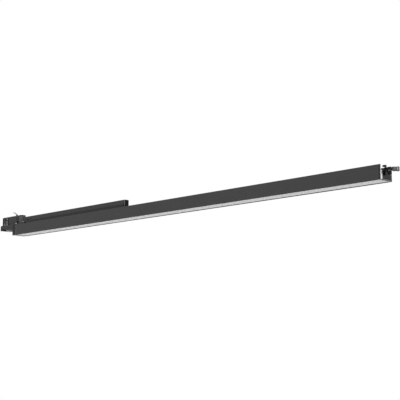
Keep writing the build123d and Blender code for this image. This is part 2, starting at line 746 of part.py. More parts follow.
# ================================================================ earth spring on the roof of the block
curl_radius = earth_pin_radius + earth_curl
with BuildPart() as earth_spring:
    with BuildSketch(Plane.XZ.offset(-earth_spring_width / 2)):
        with BuildLine():
            tip = (earth_x - earth_spring_run, earth_z + earth_spring_rise)
            Polyline((earth_x, earth_z + curl_radius - earth_spring_thick), tip,
                     (tip[0] - earth_lip_run, tip[1] - earth_lip_drop),
                     (tip[0] - earth_lip_run, tip[1] - earth_lip_drop + earth_spring_thick),
                     (tip[0], tip[1] + earth_spring_thick), (earth_x, earth_z + curl_radius), close=True)
        make_face()
        with Locations((earth_x, earth_z)):
            Circle(curl_radius)
            Circle(earth_pin_radius + running_gap, mode=Mode.SUBTRACT)
    extrude(amount=earth_spring_width)
save(earth_spring, "earth_spring")

with BuildPart() as earth_spring_pin:
    with Locations(Location((earth_x, 0, earth_z), (90, 0, 0))):
        Cylinder(earth_pin_radius, earth_spring_width + 2 * side_gap + 2 * earth_ear)
save(earth_spring_pin, "earth_spring_pin")

with BuildPart() as earth_contacts:
    for tab in earth_tabs:
        slab((tab[0], tab[1]), (tab[2], tab[3]), (base_top - earth_tab_foot, seat + earth_tab_height))
    fillet(edges().filter_by(Axis.Y).group_by(Axis.Z)[-1], earth_tab_thick / 2)
save(earth_contacts, "earth_contacts")

# ================================================================ adaptor screws
with BuildPart() as adaptor_screws:
    for place in base_screw_places:
        driven_screw(upright(place, pocket_floor), pocket_floor - web_under + web_screw_reach)
save(adaptor_screws, "adaptor_screws")

with BuildPart() as cover_screws:
    for place in cover_screw_places:
        driven_screw(upright(place, seat), cover_screw_length, cover_screw_radius,
                     cover_head_radius, cover_head_height)
save(cover_screws, "cover_screws")

# ================================================================ driver
driver_half = driver_width / 2
driver_floor = seat + driver_wall
lid_under = seat + driver_height - driver_lid
pcb_low = driver_floor + pcb_lift
pcb_top = pcb_low + pcb_thick
case_left = driver_left + plug_flange
case_right = driver_right - plug_flange
case_inner = driver_half - driver_wall
with BuildPart() as driver_case:
    slab((case_left, case_right), (-driver_half, driver_half), (seat, lid_under))
    slab((case_left, case_right), (-case_inner, case_inner), (driver_floor, lid_under), Mode.SUBTRACT)
    for side in (-1, 1):
        rail_y = sorted((side * case_inner, side * (case_inner - pcb_rail)))
        slab((case_left, case_right), rail_y, (driver_floor, pcb_low))
        for lead_x in (mains_x, supply_x):
            post((lead_x, side * lead_pitch / 2), lead_radius + side_gap, (seat, driver_floor), Mode.SUBTRACT)
save(driver_case, "driver_case")

with BuildPart() as driver_cover:
    slab((case_left, case_right), (-driver_half, driver_half), (lid_under, lid_under + driver_lid))
    fillet(edges().filter_by(Axis.X).group_by(Axis.Z)[-1], driver_lid / 2)
    for side in (-1, 1):
        lip_y = sorted((side * (case_inner - thread_gap), side * (case_inner - pcb_rail)))
        slab((case_left, case_right), lip_y, (lid_under - lid_lip, lid_under))
save(driver_cover, "driver_cover")


def driver_plug(outer_x, inwards):
    """Add an end plug of the driver: a flange over the end and a stub inside."""
    flange_x = outer_x + inwards * plug_flange
    slab(sorted((outer_x, flange_x)), (-driver_half, driver_half), (seat, seat + driver_height))
    outer_face = faces().sort_by(Axis.X)[0 if inwards > 0 else -1]
    fillet(outer_face.edges(), plug_edge)
    stub_half = case_inner - pcb_rail - thread_gap
    stub_x = sorted((flange_x, flange_x + inwards * plug_stub))
    slab(stub_x, (-stub_half, stub_half), (driver_floor, lid_under))


with BuildPart() as driver_plug_left:
    driver_plug(driver_left, 1)
save(driver_plug_left, "driver_plug_left")

with BuildPart() as driver_plug_right:
    driver_plug(driver_right, -1)
save(driver_plug_right, "driver_plug_right")

pcb_half = case_inner - hole_gap
pcb_left = driver_left + plug_flange + plug_stub + side_gap
pcb_right = driver_right - plug_flange - plug_stub - side_gap
with BuildPart() as driver_board:
    slab((pcb_left, pcb_right), (-pcb_half, pcb_half), (pcb_low, pcb_top))
save(driver_board, "driver_board")

pcb_span = pcb_right - pcb_left
transformer_x = pcb_left + transformer_share * pcb_span
with BuildPart() as transformer_core:
    slab((transformer_x - core_length / 2, transformer_x + core_length / 2),
         (-core_width / 2, core_width / 2), (pcb_top, pcb_top + core_height))
    for side in (-1, 1):
        window_near = transformer_x + side * core_leg / 2
        window_far = transformer_x + side * (core_length - core_leg) / 2
        slab(sorted((window_near, window_far)), (-core_width / 2, core_width / 2),
             (pcb_top + core_yoke, pcb_top + core_height - core_yoke), Mode.SUBTRACT)
save(transformer_core, "transformer_core")

with BuildPart() as transformer_coil:
    coil_half = (core_length - core_leg) / 2 - thread_gap
    slab((transformer_x - coil_half, transformer_x + coil_half), (-coil_width / 2, coil_width / 2),
         (pcb_top + core_yoke + thread_gap, pcb_top + core_height - core_yoke - thread_gap))
    slab((transformer_x - core_leg / 2 - thread_gap, transformer_x + core_leg / 2 + thread_gap),
         (-core_width / 2 - thread_gap, core_width / 2 + thread_gap),
         (pcb_top, pcb_top + core_height), Mode.SUBTRACT)
save(transformer_coil, "transformer_coil")

with BuildPart() as capacitors:
    for share in capacitor_shares:
        with BuildSketch(Plane.YZ.offset(pcb_left + share * pcb_span)) as can:
            with Locations((0, pcb_top + capacitor_radius)):
                Circle(capacitor_radius)
        extrude(to_extrude=can.sketch, amount=capacitor_length)
save(capacitors, "capacitors")

with BuildPart() as inductors:
    for share in inductor_shares:
        choke_x = pcb_left + share * pcb_span
        post((choke_x, 0), inductor_radius, (pcb_top, pcb_top + inductor_flange))
        post((choke_x, 0), inductor_radius - inductor_flange, (pcb_top, pcb_top + inductor_height))
        post((choke_x, 0), inductor_radius,
             (pcb_top + inductor_height - inductor_flange, pcb_top + inductor_height))
save(inductors, "inductors")

with BuildPart() as power_transistors:
    for share in transistor_shares:
        chip_x = pcb_left + share * pcb_span
        slab((chip_x - transistor_length / 2, chip_x + transistor_length / 2),
             (-transistor_length / 2, transistor_length / 2), (pcb_top, pcb_top + transistor_height))
save(power_transistors, "power_transistors")

with BuildPart() as driver_terminals:
    for lead_x in (mains_x, supply_x):
        slab((lead_x - pcb_terminal / 2, lead_x + pcb_terminal / 2), (-pcb_terminal / 2, pcb_terminal / 2),
             (pcb_top, pcb_top + pcb_terminal - pcb_lift))
save(driver_terminals, "driver_terminals")

# ================================================================ cradle that holds the driver over the web
with BuildPart() as driver_cradle:
    cradle_outer = cradle_half + cradle_wall
    cradle_floor = seat - cradle_wall
    with BuildSketch(Plane.YZ.offset(cradle_left)):
        with Locations((0, (cradle_floor + seat) / 2)):
            Rectangle(2 * cradle_outer, cradle_wall)
        for side in (-1, 1):
            with Locations((side * (cradle_half + cradle_wall / 2), (web_top + seat + cradle_height) / 2)):
                Rectangle(cradle_wall, seat + cradle_height - web_top)
            with Locations((side * (cradle_outer + cradle_foot / 2), web_top + cradle_foot_thick / 2)):
                Rectangle(cradle_foot, cradle_foot_thick)
    extrude(amount=cradle_right - cradle_left)
    for place in cradle_screw_places:
        screw_hole(upright(place, web_top + cradle_foot_thick), cradle_foot_thick)
    for side in (-1, 1):
        for lead_x in (mains_x, supply_x):
            post((lead_x, side * lead_pitch / 2), lead_radius + side_gap, (cradle_floor, seat), Mode.SUBTRACT)
save(driver_cradle, "driver_cradle")

with BuildPart() as cradle_screws:
    for place in cradle_screw_places:
        driven_screw(upright(place, web_top + cradle_foot_thick), cradle_foot_thick + web + web_screw_reach)
save(cradle_screws, "cradle_screws")

# ================================================================ leads
for side, name in ((-1, "mains_lead_live"), (1, "mains_lead_neutral")):
    with BuildPart() as mains_lead:
        lead_start = (adaptor_end - terminal_socket, side * lead_pitch / 2, lead_z)
        lead_turn = (mains_x, side * lead_pitch / 2, lead_z)
        lead_end = (mains_x, side * lead_pitch / 2, pcb_low)
        with BuildLine():
            FilletPolyline(lead_start, lead_turn, lead_end, radius=lead_bend)
        with BuildSketch(Plane(origin=lead_start, z_dir=(1, 0, 0))):
            Circle(lead_radius)
        sweep()
    save(mains_lead, name)

for side, name in ((-1, "supply_lead_negative"), (1, "supply_lead_positive")):
    with BuildPart() as supply_lead:
        post((supply_x, side * lead_pitch / 2), lead_radius, (board_top, pcb_low))
    save(supply_lead, name)

with BuildPart() as lead_grommet:
    with BuildSketch(Plane.XY.offset(web_under)) as body:
        with Locations((supply_x, 0)):
            SlotCenterToCenter(lead_pitch, 2 * grommet_radius, rotation=90)
    extrude(to_extrude=body.sketch, amount=web)
    for lip_z in (web_under - grommet_lip, web_top):
        with BuildSketch(Plane.XY.offset(lip_z)) as lip:
            with Locations((supply_x, 0)):
                SlotCenterToCenter(lead_pitch, 2 * (grommet_radius + grommet_lip), rotation=90)
        extrude(to_extrude=lip.sketch, amount=grommet_lip)
    for side in (-1, 1):
        post((supply_x, side * lead_pitch / 2), lead_radius,
             (web_under - grommet_lip, web_top + grommet_lip), Mode.SUBTRACT)
save(lead_grommet, "lead_grommet")

# ================================================================ turning latch at the right end
with BuildPart() as latch_bracket:
    with BuildSketch(Plane.XY.offset(web_top)):
        with Locations((bracket_start + bracket_length / 2, 0)):
            Rectangle(bracket_length, bracket_width)
        with Locations(((right_end + pivot_x) / 2, 0)):
            Rectangle(latch_reach, 2 * tab_radius)
        with Locations((pivot_x, 0)):
            Circle(tab_radius)
            Circle(pivot_radius + running_gap, mode=Mode.SUBTRACT)
    extrude(amount=bracket_thick)
    for place in bracket_screw_places:
        screw_hole(upright(place, tab_top), bracket_thick)
save(latch_bracket, "latch_bracket")

with BuildPart() as latch_bracket_screws:
    for place in bracket_screw_places:
        driven_screw(upright(place, tab_top), bracket_thick + web + web_screw_reach)
save(latch_bracket_screws, "latch_bracket_screws")

hub_top = hub_low + latch_hub_height
knob_top = web_top - washer_thick
with BuildPart() as latch_pivot:
    post((pivot_x, 0), pivot_knob_radius, (knob_top - pivot_knob_height, knob_top))
    fillet(faces().sort_by(Axis.Z)[0].edges(), pivot_head)
    post((pivot_x, 0), pivot_radius, (knob_top, hub_top))
    post((pivot_x, 0), pivot_head_radius, (hub_top, hub_top + pivot_head))
save(latch_pivot, "latch_pivot")

with BuildPart() as latch_washer:
    with BuildSketch(Plane.XY.offset(knob_top)):
        with Locations((pivot_x, 0)):
            Circle(pivot_knob_radius + washer_thick)
            Circle(pivot_radius + hole_gap, mode=Mode.SUBTRACT)
    extrude(amount=washer_thick)
save(latch_washer, "latch_washer")

blade_low = hub_low - blade_drop
blade_top = blade_low + blade_height
with BuildPart() as latch_lever:
    post((pivot_x, 0), latch_hub_radius, (hub_low, hub_top))
    # Tongue towards the luminaire, with its raised head.
    slab((pivot_x - tongue_length, pivot_x), (-tongue_width / 2, tongue_width / 2), (hub_low, hub_top))
    head_left = pivot_x - tongue_length - tongue_head_overhang
    head_right = head_left + tongue_head_length
    slab((head_right - tongue_post, head_right), (-tongue_width / 2, tongue_width / 2),
         (hub_low, hub_low + tongue_height))
    slab((head_left, head_right), (-tongue_width / 2, tongue_width / 2),
         (hub_low + tongue_height, hub_low + tongue_height + tongue_head_height))
    fillet(faces().sort_by(Axis.Z)[-1].edges(), tongue_edge)
    # Blade outwards, bent to one side, with a bead at its tip.
    bead = (pivot_x + blade_reach, blade_sweep)
    blade_half = blade_thick / 2
    blade_root = pivot_x + tab_radius / 2
    with BuildSketch(Plane.XY.offset(blade_low)) as blade:
        with BuildLine():
            Polyline((blade_root, -blade_half), (pivot_x + tab_radius + blade_half, -blade_half),
                     (bead[0], bead[1] - blade_half), (bead[0], bead[1] + blade_half),
                     (pivot_x + tab_radius + blade_half, blade_half + blade_flare),
                     (blade_root, blade_half + blade_flare), close=True)
        make_face()
    extrude(to_extrude=blade.sketch, amount=blade_height)
    post((pivot_x, 0), tab_radius + blade_gap, (blade_low, hub_low), Mode.SUBTRACT)
    post(bead, bead_radius, (blade_low - bead_extra, blade_top + bead_extra))
    post((pivot_x, 0), pivot_radius + running_gap, (hub_low, hub_top), Mode.SUBTRACT)
save(latch_lever, "latch_lever")
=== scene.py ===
"""Looks for the LED strip batten with its track adaptor, slim driver and turning latch."""

import json
import logging
import math
from collections.abc import Iterable
from dataclasses import dataclass, field
from enum import Enum
from functools import reduce

import bmesh
import bpy
import numpy as np
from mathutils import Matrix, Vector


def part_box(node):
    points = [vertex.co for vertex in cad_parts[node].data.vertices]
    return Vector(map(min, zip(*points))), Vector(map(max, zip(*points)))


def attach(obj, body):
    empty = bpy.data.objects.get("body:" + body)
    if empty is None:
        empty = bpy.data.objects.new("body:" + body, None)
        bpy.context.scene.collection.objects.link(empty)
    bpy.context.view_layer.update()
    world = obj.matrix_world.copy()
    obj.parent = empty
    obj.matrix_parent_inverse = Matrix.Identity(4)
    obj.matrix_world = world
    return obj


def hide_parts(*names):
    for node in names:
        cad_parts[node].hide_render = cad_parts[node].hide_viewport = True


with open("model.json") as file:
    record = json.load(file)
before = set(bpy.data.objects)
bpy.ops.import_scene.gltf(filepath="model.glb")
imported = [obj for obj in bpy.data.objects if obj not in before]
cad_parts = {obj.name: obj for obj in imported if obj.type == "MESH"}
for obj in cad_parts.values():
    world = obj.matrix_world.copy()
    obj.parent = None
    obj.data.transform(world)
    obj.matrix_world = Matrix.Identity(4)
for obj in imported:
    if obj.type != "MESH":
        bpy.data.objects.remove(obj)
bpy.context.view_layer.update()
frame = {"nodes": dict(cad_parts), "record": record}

MM = 0.001
SIDES = (-1.0, 1.0)
WHITE = (1.0, 1.0, 1.0, 1.0)
MERGE_WITHIN = 1e-7  # Points nearer to each other become one, in metres.
LOG = logging.getLogger("batten")


# ---------------------------------------------------------------- shader maths
class Value:
    """One output of a node, with arithmetic that adds Math nodes behind it."""

    def __init__(self, net: "Network", socket: bpy.types.NodeSocket) -> None:
        """Keeps the network and the output socket."""
        self.net = net
        self.socket = socket

    def _math(self, operation: str, *terms: "Value | float") -> "Value":
        """Adds one Math node whose inputs are the terms in their order."""
        return self.net.value("ShaderNodeMath", {"operation": operation}, dict(enumerate(terms)))

    def __add__(self, other: "Value | float") -> "Value":
        """Sum."""
        return self._math("ADD", self, other)

    def __radd__(self, other: float) -> "Value":
        """Sum with a number on the left."""
        return self._math("ADD", other, self)

    def __sub__(self, other: "Value | float") -> "Value":
        """Difference."""
        return self._math("SUBTRACT", self, other)

    def __rsub__(self, other: float) -> "Value":
        """Difference from a number on the left."""
        return self._math("SUBTRACT", other, self)

    def __mul__(self, other: "Value | float") -> "Value":
        """Product."""
        return self._math("MULTIPLY", self, other)

    def __rmul__(self, other: float) -> "Value":
        """Product with a number on the left."""
        return self._math("MULTIPLY", other, self)

    def wave(self) -> "Value":
        """Sine."""
        return self._math("SINE", self)

    def either(self, other: "Value") -> "Value":
        """The larger of two values, which for masks is their union."""
        return self._math("MAXIMUM", self, other)

    def over(self, limit: float) -> "Value":
        """1 where the value is over a limit and 0 elsewhere."""
        return self._math("GREATER_THAN", self, limit)

    def clamp(self) -> "Value":
        """Limits the value to the span from 0 to 1."""
        return self.net.value("ShaderNodeClamp", {}, {0: self})


class Network:
    """The node tree of one material or of the world."""

    def __init__(self, owner: bpy.types.Material | bpy.types.World) -> None:
        """Empties the owner's node tree.

        Args:
            owner: The material or the world.
        """
        self.owner = owner
        owner.use_nodes = True
        self.tree = owner.node_tree
        self.tree.nodes.clear()

    def node(self, kind: str, settings: dict, inputs: dict) -> bpy.types.Node:
        """Adds a node of any type.

        Args:
            kind: The node's type name.
            settings: The node's own properties, such as its operation, set before its inputs.
            inputs: Socket name or number to a number, a colour, a Value or a socket.

        Returns:
            The new node.
        """
        made = self.tree.nodes.new(kind)
        for key, setting in settings.items():
            setattr(made, key, setting)
        for key, content in inputs.items():
            if isinstance(content, Value):
                content = content.socket
            if isinstance(content, bpy.types.NodeSocket):
                self.tree.links.new(content, made.inputs[key])
            else:
                made.inputs[key].default_value = content
        return made

    def value(self, kind: str, settings: dict, inputs: dict, output: int | str = 0) -> Value:
        """Adds a node and returns one of its outputs as a Value."""
        return Value(self, self.node(kind, settings, inputs).outputs[output])

    def place(self) -> Value:
        """Object coordinates, in metres."""
        return self.value("ShaderNodeTexCoord", {}, {}, "Object")

    def axis(self, letter: str) -> Value:
        """One object coordinate, in metres."""
        return self.value("ShaderNodeSeparateXYZ", {}, {0: self.place()}, letter)

    def stretched(self, x: float, y: float, z: float) -> Value:
        """Object coordinates with each axis scaled by its own number."""
        inputs = {"Vector": self.place(), "Scale": (x, y, z)}
        return self.value("ShaderNodeMapping", {}, inputs)

    def noise(self, scale: float, detail: float = 2.0, vector: Value | None = None) -> Value:
        """Noise from 0 to 1.

        Args:
            scale: Features per metre.
            detail: Octaves.
            vector: The coordinates, or none for object coordinates.

        Returns:
            The noise.
        """
        inputs = {"Vector": vector or self.place(), "Scale": scale, "Detail": detail}
        return self.value("ShaderNodeTexNoise", {}, inputs)

    def cells(self, scale: float) -> Value:
        """Distance to the nearest cell's middle, with a number of cells per metre."""
        inputs = {"Vector": self.place(), "Scale": scale}
        return self.value("ShaderNodeTexVoronoi", {"feature": "F1"}, inputs)

    def blend(self, factor: Value, low: "tuple | Value", high: "tuple | Value") -> Value:
        """Mixes two colours.

        Args:
            factor: 0 for the first colour, 1 for the second.
            low: The first colour, as red, green and blue or as a link.
            high: The second colour.

        Returns:
            The mixed colour.
        """
        first, second = (c if isinstance(c, Value) else (*c, 1.0) for c in (low, high))
        inputs = {0: factor, 6: first, 7: second}
        return self.value("ShaderNodeMix", {"data_type": "RGBA"}, inputs, 2)

    def rounded(self, radius: float) -> Value:
        """Normals rounded at the edges within a radius in metres."""
        return self.value("ShaderNodeBevel", {"samples": 4}, {"Radius": radius})

    def edges(self, radius: float) -> Value:
        """Mask of the edges: how far the rounded normal leaves the true one.

        Args:
            radius: Width of the edges, in metres.

        Returns:
            The mask, 1 at an edge.
        """
        true = self.value("ShaderNodeNewGeometry", {}, {}, "True Normal")
        alike = self.value("ShaderNodeVectorMath", {"operation": "DOT_PRODUCT"},
                           {0: self.rounded(radius), 1: true}, "Value")
        return ((1.0 - alike) * 4.0).clamp()

    def bump(self, height: Value, depth: float, normal: Value | None = None) -> Value:
        """Bump from a height field.

        Args:
            height: The field, from 0 to 1.
            depth: Height of the field's 1, in metres.
            normal: What the bump lies on, or none for the surface itself.

        Returns:
            The bumped normal.
        """
        inputs = {"Height": height, "Distance": depth, "Strength": 1.0}
        if normal is not None:
            inputs["Normal"] = normal
        return self.value("ShaderNodeBump", {}, inputs)

    def surface(self, base: Value, rough: Value, normal: Value, sockets: dict) -> None:
        """Closes the network with a surface shader.

        Args:
            base: Base colour.
            rough: Roughness.
            normal: Normal.
            sockets: What is the same all over the surface.
        """
        links = {"Base Color": base, "Roughness": rough, "Normal": normal}
        shader = self.node("ShaderNodeBsdfPrincipled", {}, {**sockets, **links})
        self.node("ShaderNodeOutputMaterial", {}, {"Surface": shader.outputs[0]})


# ---------------------------------------------------------------- finishes
BLOCK_START_MM, BLOCK_END_MM = 3.0, 69.9  # The block's ends, from its node's left end.
RECORD_COLOURS = {entry["slot"]: tuple(entry["base_color"][:3])
                  for entry in frame["record"]["materials"]}
# Where the painted highlight lines lie: the profile's left end and the block's right end.
PROFILE_START = float(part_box("housing_profile")[0][0])
BLOCK_END = float(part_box("adaptor_block")[0][0]) + BLOCK_END_MM * MM


@dataclass(frozen=True)
class Finish:
    """What every finish shares.

    Attributes:
        slot: The record's material slot.
        rough: Mean roughness.
        round_mm: Radius that the edges seem rounded by.
        shine: Strength of the mirror reflection.
        tone: Factor on the slot's colour.
        depth: Depth of the surface's relief, in metres.
        wear: How much paler the edges are.
        highlight_line_at: Where along X a painted highlight line crosses the surface, in metres, at
            a joint or an end edge.
        highlight_line_width: Half the width of such a painted highlight line, in metres.
        highlight_line_share: How far the painted highlight line's colour goes towards white.
    """

    slot: str
    rough: float = 0.5
    round_mm: float = 0.25
    shine: float = 0.5
    tone: float = 1.0
    depth: float = 0.00002
    wear: float = 0.03
    highlight_line_at: tuple[float, ...] = ()
    highlight_line_width: float = 0.0007
    highlight_line_share: float = 0.22

    def darker(self, share: float) -> tuple:
        """The slot's toned colour with a share of it taken away."""
        return tuple(c * self.tone * (1.0 - share) for c in RECORD_COLOURS[self.slot])

    def lighter(self, share: float) -> tuple:
        """The slot's toned colour moved towards white by a share of the way."""
        colour = (c * self.tone for c in RECORD_COLOURS[self.slot])
        return tuple(c + (1.0 - c) * share for c in colour)

    def clouded(self, net: Network, cloud: Value, dark: float, pale: float) -> Value:
        """A colour that runs from a darker to a lighter tone as a field goes from 0 to 1."""
        return net.blend(cloud, self.darker(dark), self.lighter(pale))

    def paint_highlight_lines(self, net: Network, base: Value) -> Value:
        """Lays painted highlight lines over a base colour: paler bands across X that stand for
        highlights on edges.

        Args:
            net: The material's network.
            base: The colour below the bands.

        Returns:
            The colour with the painted highlight lines.
        """
        # Each band is a painted highlight: a narrow span of X moved towards white.
        for middle in self.highlight_line_at:
            away = net.axis("X") - middle
            inside = 1.0 - (away * away).over(self.highlight_line_width ** 2)
            base = net.blend(inside, base, self.lighter(self.highlight_line_share))
        return base

    def relief(self, net: Network, height: Value) -> Value:
        """A height field bumped onto the rounded edges."""
        return net.bump(height, self.depth, net.rounded(self.round_mm * MM))

    def build(self) -> bpy.types.Material:
        """Makes the finish's material.

        Returns:
            The material.
        """
        net = Network(bpy.data.materials.new(self.slot))
        self.mix(net)
        return net.owner

    def mix(self, net: Network) -> None:
        """Fills the material's network.

        Args:
            net: The material's network.
        """
        raise NotImplementedError


@dataclass(frozen=True)
class PowderCoat(Finish):
    """Satin powder coat: fine orange peel, a faint cloudiness and paler edges."""

    depth: float = 0.00003
    wear: float = 0.05

    def mix(self, net: Network) -> None:
        """Orange peel is noise at two sizes; handling has polished the edges, which are paler.

        Args:
            net: The material's network.
        """
        peel, cloud = net.noise(1400.0, 3.0), net.noise(38.0, 4.0)
        edge = net.edges(self.round_mm * MM)
        base = self.clouded(net, cloud, 0.12, 0.012)
        # Polished paler edges, then painted highlight lines across X where given.
        base = self.paint_highlight_lines(net, net.blend(edge * 0.6, base, self.lighter(self.wear)))
        rough = self.rough + (cloud - 0.5) * 0.12 + (peel - 0.5) * 0.10 - edge * 0.08
        normal = self.relief(net, peel * 0.7 + net.cells(5200.0) * 0.3)
        net.surface(base, rough, normal, {"Specular IOR Level": self.shine})


@dataclass(frozen=True)
class MouldedPlastic(Finish):
    """Moulded plastic: spark-eroded grain or polished, with faint flow marks.

    Attributes:
        grain: Grains per metre.
    """

    grain: float = 2600.0

    def mix(self, net: Network) -> None:
        """Grain is a cell pattern softened by noise, and the edges are smoother and paler.

        Args:
            net: The material's network.
        """
        flow = net.noise(60.0, 3.0, net.stretched(0.3, 1.0, 1.0))
        speck = net.noise(self.grain * 0.6)
        edge = net.edges(self.round_mm * MM)
        base = self.clouded(net, flow, 0.10, 0.010)
        # Paler worn edges, then painted highlight lines across X where given.
        base = self.paint_highlight_lines(net, net.blend(edge * 0.5, base, self.lighter(self.wear)))
        rough = self.rough + (flow - 0.5) * 0.10 + (speck - 0.5) * 0.08 - edge * 0.10
        normal = self.relief(net, net.cells(self.grain) * 0.6 + speck * 0.4)
        net.surface(base, rough, normal, {"IOR": 1.48, "Specular IOR Level": self.shine})


@dataclass(frozen=True)
class OpalPlastic(Finish):
    """Opal cover: milky, with faint draw lines along its length."""

    def mix(self, net: Network) -> None:
        """Draw lines are noise stretched far along X; the milk is a small, even scatter.

        Args:
            net: The material's network.
        """
        lines = net.noise(900.0, 2.0, net.stretched(0.004, 1.0, 1.0))
        bands = net.noise(160.0, 1.0, net.stretched(0.01, 1.0, 0.2))
        cloud = net.noise(22.0, 3.0)
        base = self.clouded(net, bands * 0.6 + cloud * 0.4, 0.05, 0.2)
        rough = self.rough + (lines - 0.5) * 0.12 + (cloud - 0.5) * 0.06
        net.surface(base, rough, net.bump(lines, self.depth), {
            "Subsurface Weight": 0.35, "Subsurface Scale": 0.002, "IOR": 1.49,
            "Subsurface Radius": (1.0, 1.0, 1.0)})


class Grain(Enum):
    """Direction of a metal's brush lines, as a factor on each axis."""

    ALONG_X = (0.02, 1.0, 1.0)
    ROUND = (1.0, 1.0, 0.05)
    EVEN = (1.0, 1.0, 1.0)


@dataclass(frozen=True)
class BareMetal(Finish):
    """Plated or bare metal: brush lines, light tarnish and brighter edges.

    Attributes:
        lines: Direction of the brush lines.
        tarnish: How dark the tarnish is.
    """

    depth: float = 0.000012
    wear: float = 0.25
    lines: Grain = Grain.EVEN
    tarnish: float = 0.25

    def mix(self, net: Network) -> None:
        """Brush lines are noise stretched along one axis; tarnish darkens in clouds.

        Args:
            net: The material's network.
        """
        brush = net.noise(3800.0, 2.0, net.stretched(*self.lines.value))
        cloud = net.noise(150.0, 4.0)
        base = self.clouded(net, cloud, self.tarnish, 0.06)
        base = net.blend(net.edges(self.round_mm * MM) * 0.5, base, self.lighter(self.wear))
        rough = self.rough + (brush - 0.5) * 0.22 + (cloud - 0.5) * 0.16
        net.surface(base, rough, self.relief(net, brush), {"Metallic": 1.0})


@dataclass(frozen=True)
class LightBoardLacquer(Finish):
    """White board lacquer with two paler strips where the copper lies under it.

    Attributes:
        strip_mm: From the centre line to a strip's inner and outer edge.
    """

    depth: float = 0.00003
    strip_mm: tuple[float, float] = (3.0, 6.0)

    def mix(self, net: Network) -> None:
        """The strips are where the distance from the centre line is between two limits.

        Args:
            net: The material's network.
        """
        across = net.axis("Y") * (1.0 / MM)
        square = across * across
        near, far = (square.over(limit ** 2) for limit in self.strip_mm)
        strips, dust = near - far, net.noise(420.0, 3.0)
        base = self.clouded(net, strips * 0.7, 0.06, 0.35)
        normal = self.relief(net, strips * 0.4 + dust * 0.6)
        net.surface(base, self.rough + (dust - 0.5) * 0.2, normal, {"IOR": 1.5})


@dataclass(frozen=True)
class CircuitBoard(Finish):
    """Green lacquered board with tracks under the lacquer."""

    depth: float = 0.00003

    def mix(self, net: Network) -> None:
        """Tracks are the crossings of two sets of bands, each bent by noise.

        Args:
            net: The material's network.
        """
        along = (net.axis("X") * 2600.0 + net.noise(90.0) * 6.0).wave()
        across = (net.axis("Y") * 3400.0 + net.noise(70.0) * 4.0).wave()
        tracks = (along * across).over(0.15)
        base = self.clouded(net, tracks, 0.35, 0.08)
        rough = self.rough + (net.noise(300.0) - 0.5) * 0.15
        net.surface(base, rough, self.relief(net, tracks), {"IOR": 1.55})


@dataclass(frozen=True)
class Phosphor(Finish):
    """Yellow phosphor under clear silicone."""

    def mix(self, net: Network) -> None:
        """Grains are cells; the silicone is the glossy coat.

        Args:
            net: The material's network.
        """
        grains = net.cells(6000.0)
        base = self.clouded(net, grains, 0.15, 0.25)
        net.surface(base, self.rough + grains * 0.15, net.bump(grains, self.depth),
                    {"Coat Weight": 0.8, "Coat Roughness": 0.1})


@dataclass(frozen=True)
class Winding(Finish):
    """Copper winding: the round backs of the wires lie side by side.

    Attributes:
        wire: Thickness of the wire, in metres.
    """

    depth: float = 0.00012
    wire: float = 0.0005

    def mix(self, net: Network) -> None:
        """The wires are a sine across the coil; the hollows between them are darker, as painted
        shade.

        Args:
            net: The material's network.
        """
        wires = (net.axis("X") * (2.0 * math.pi / self.wire)).wave() * 0.5 + 0.5
        # Darker hollows between the wires: painted shade.
        base = self.clouded(net, wires, 0.55, 0.10)
        rough = self.rough + (1.0 - wires) * 0.25
        net.surface(base, rough, net.bump(wires, self.depth), {"Metallic": 0.9})


@dataclass(frozen=True)
class Insulation(Finish):
    """Soft insulation or rubber: a dull skin with fine draw marks and dust."""

    def mix(self, net: Network) -> None:
        """Draw marks are noise stretched along the run; dust is a paler cloud.

        Args:
            net: The material's network.
        """
        marks = net.noise(2400.0, 2.0, net.stretched(0.2, 1.0, 0.2))
        dust = net.noise(240.0, 4.0)
        base = self.clouded(net, dust * 0.7, 0.15, 0.05)
        rough = self.rough + (dust - 0.5) * 0.15 + (marks - 0.5) * 0.08
        net.surface(base, rough, self.relief(net, marks), {"IOR": 1.5})


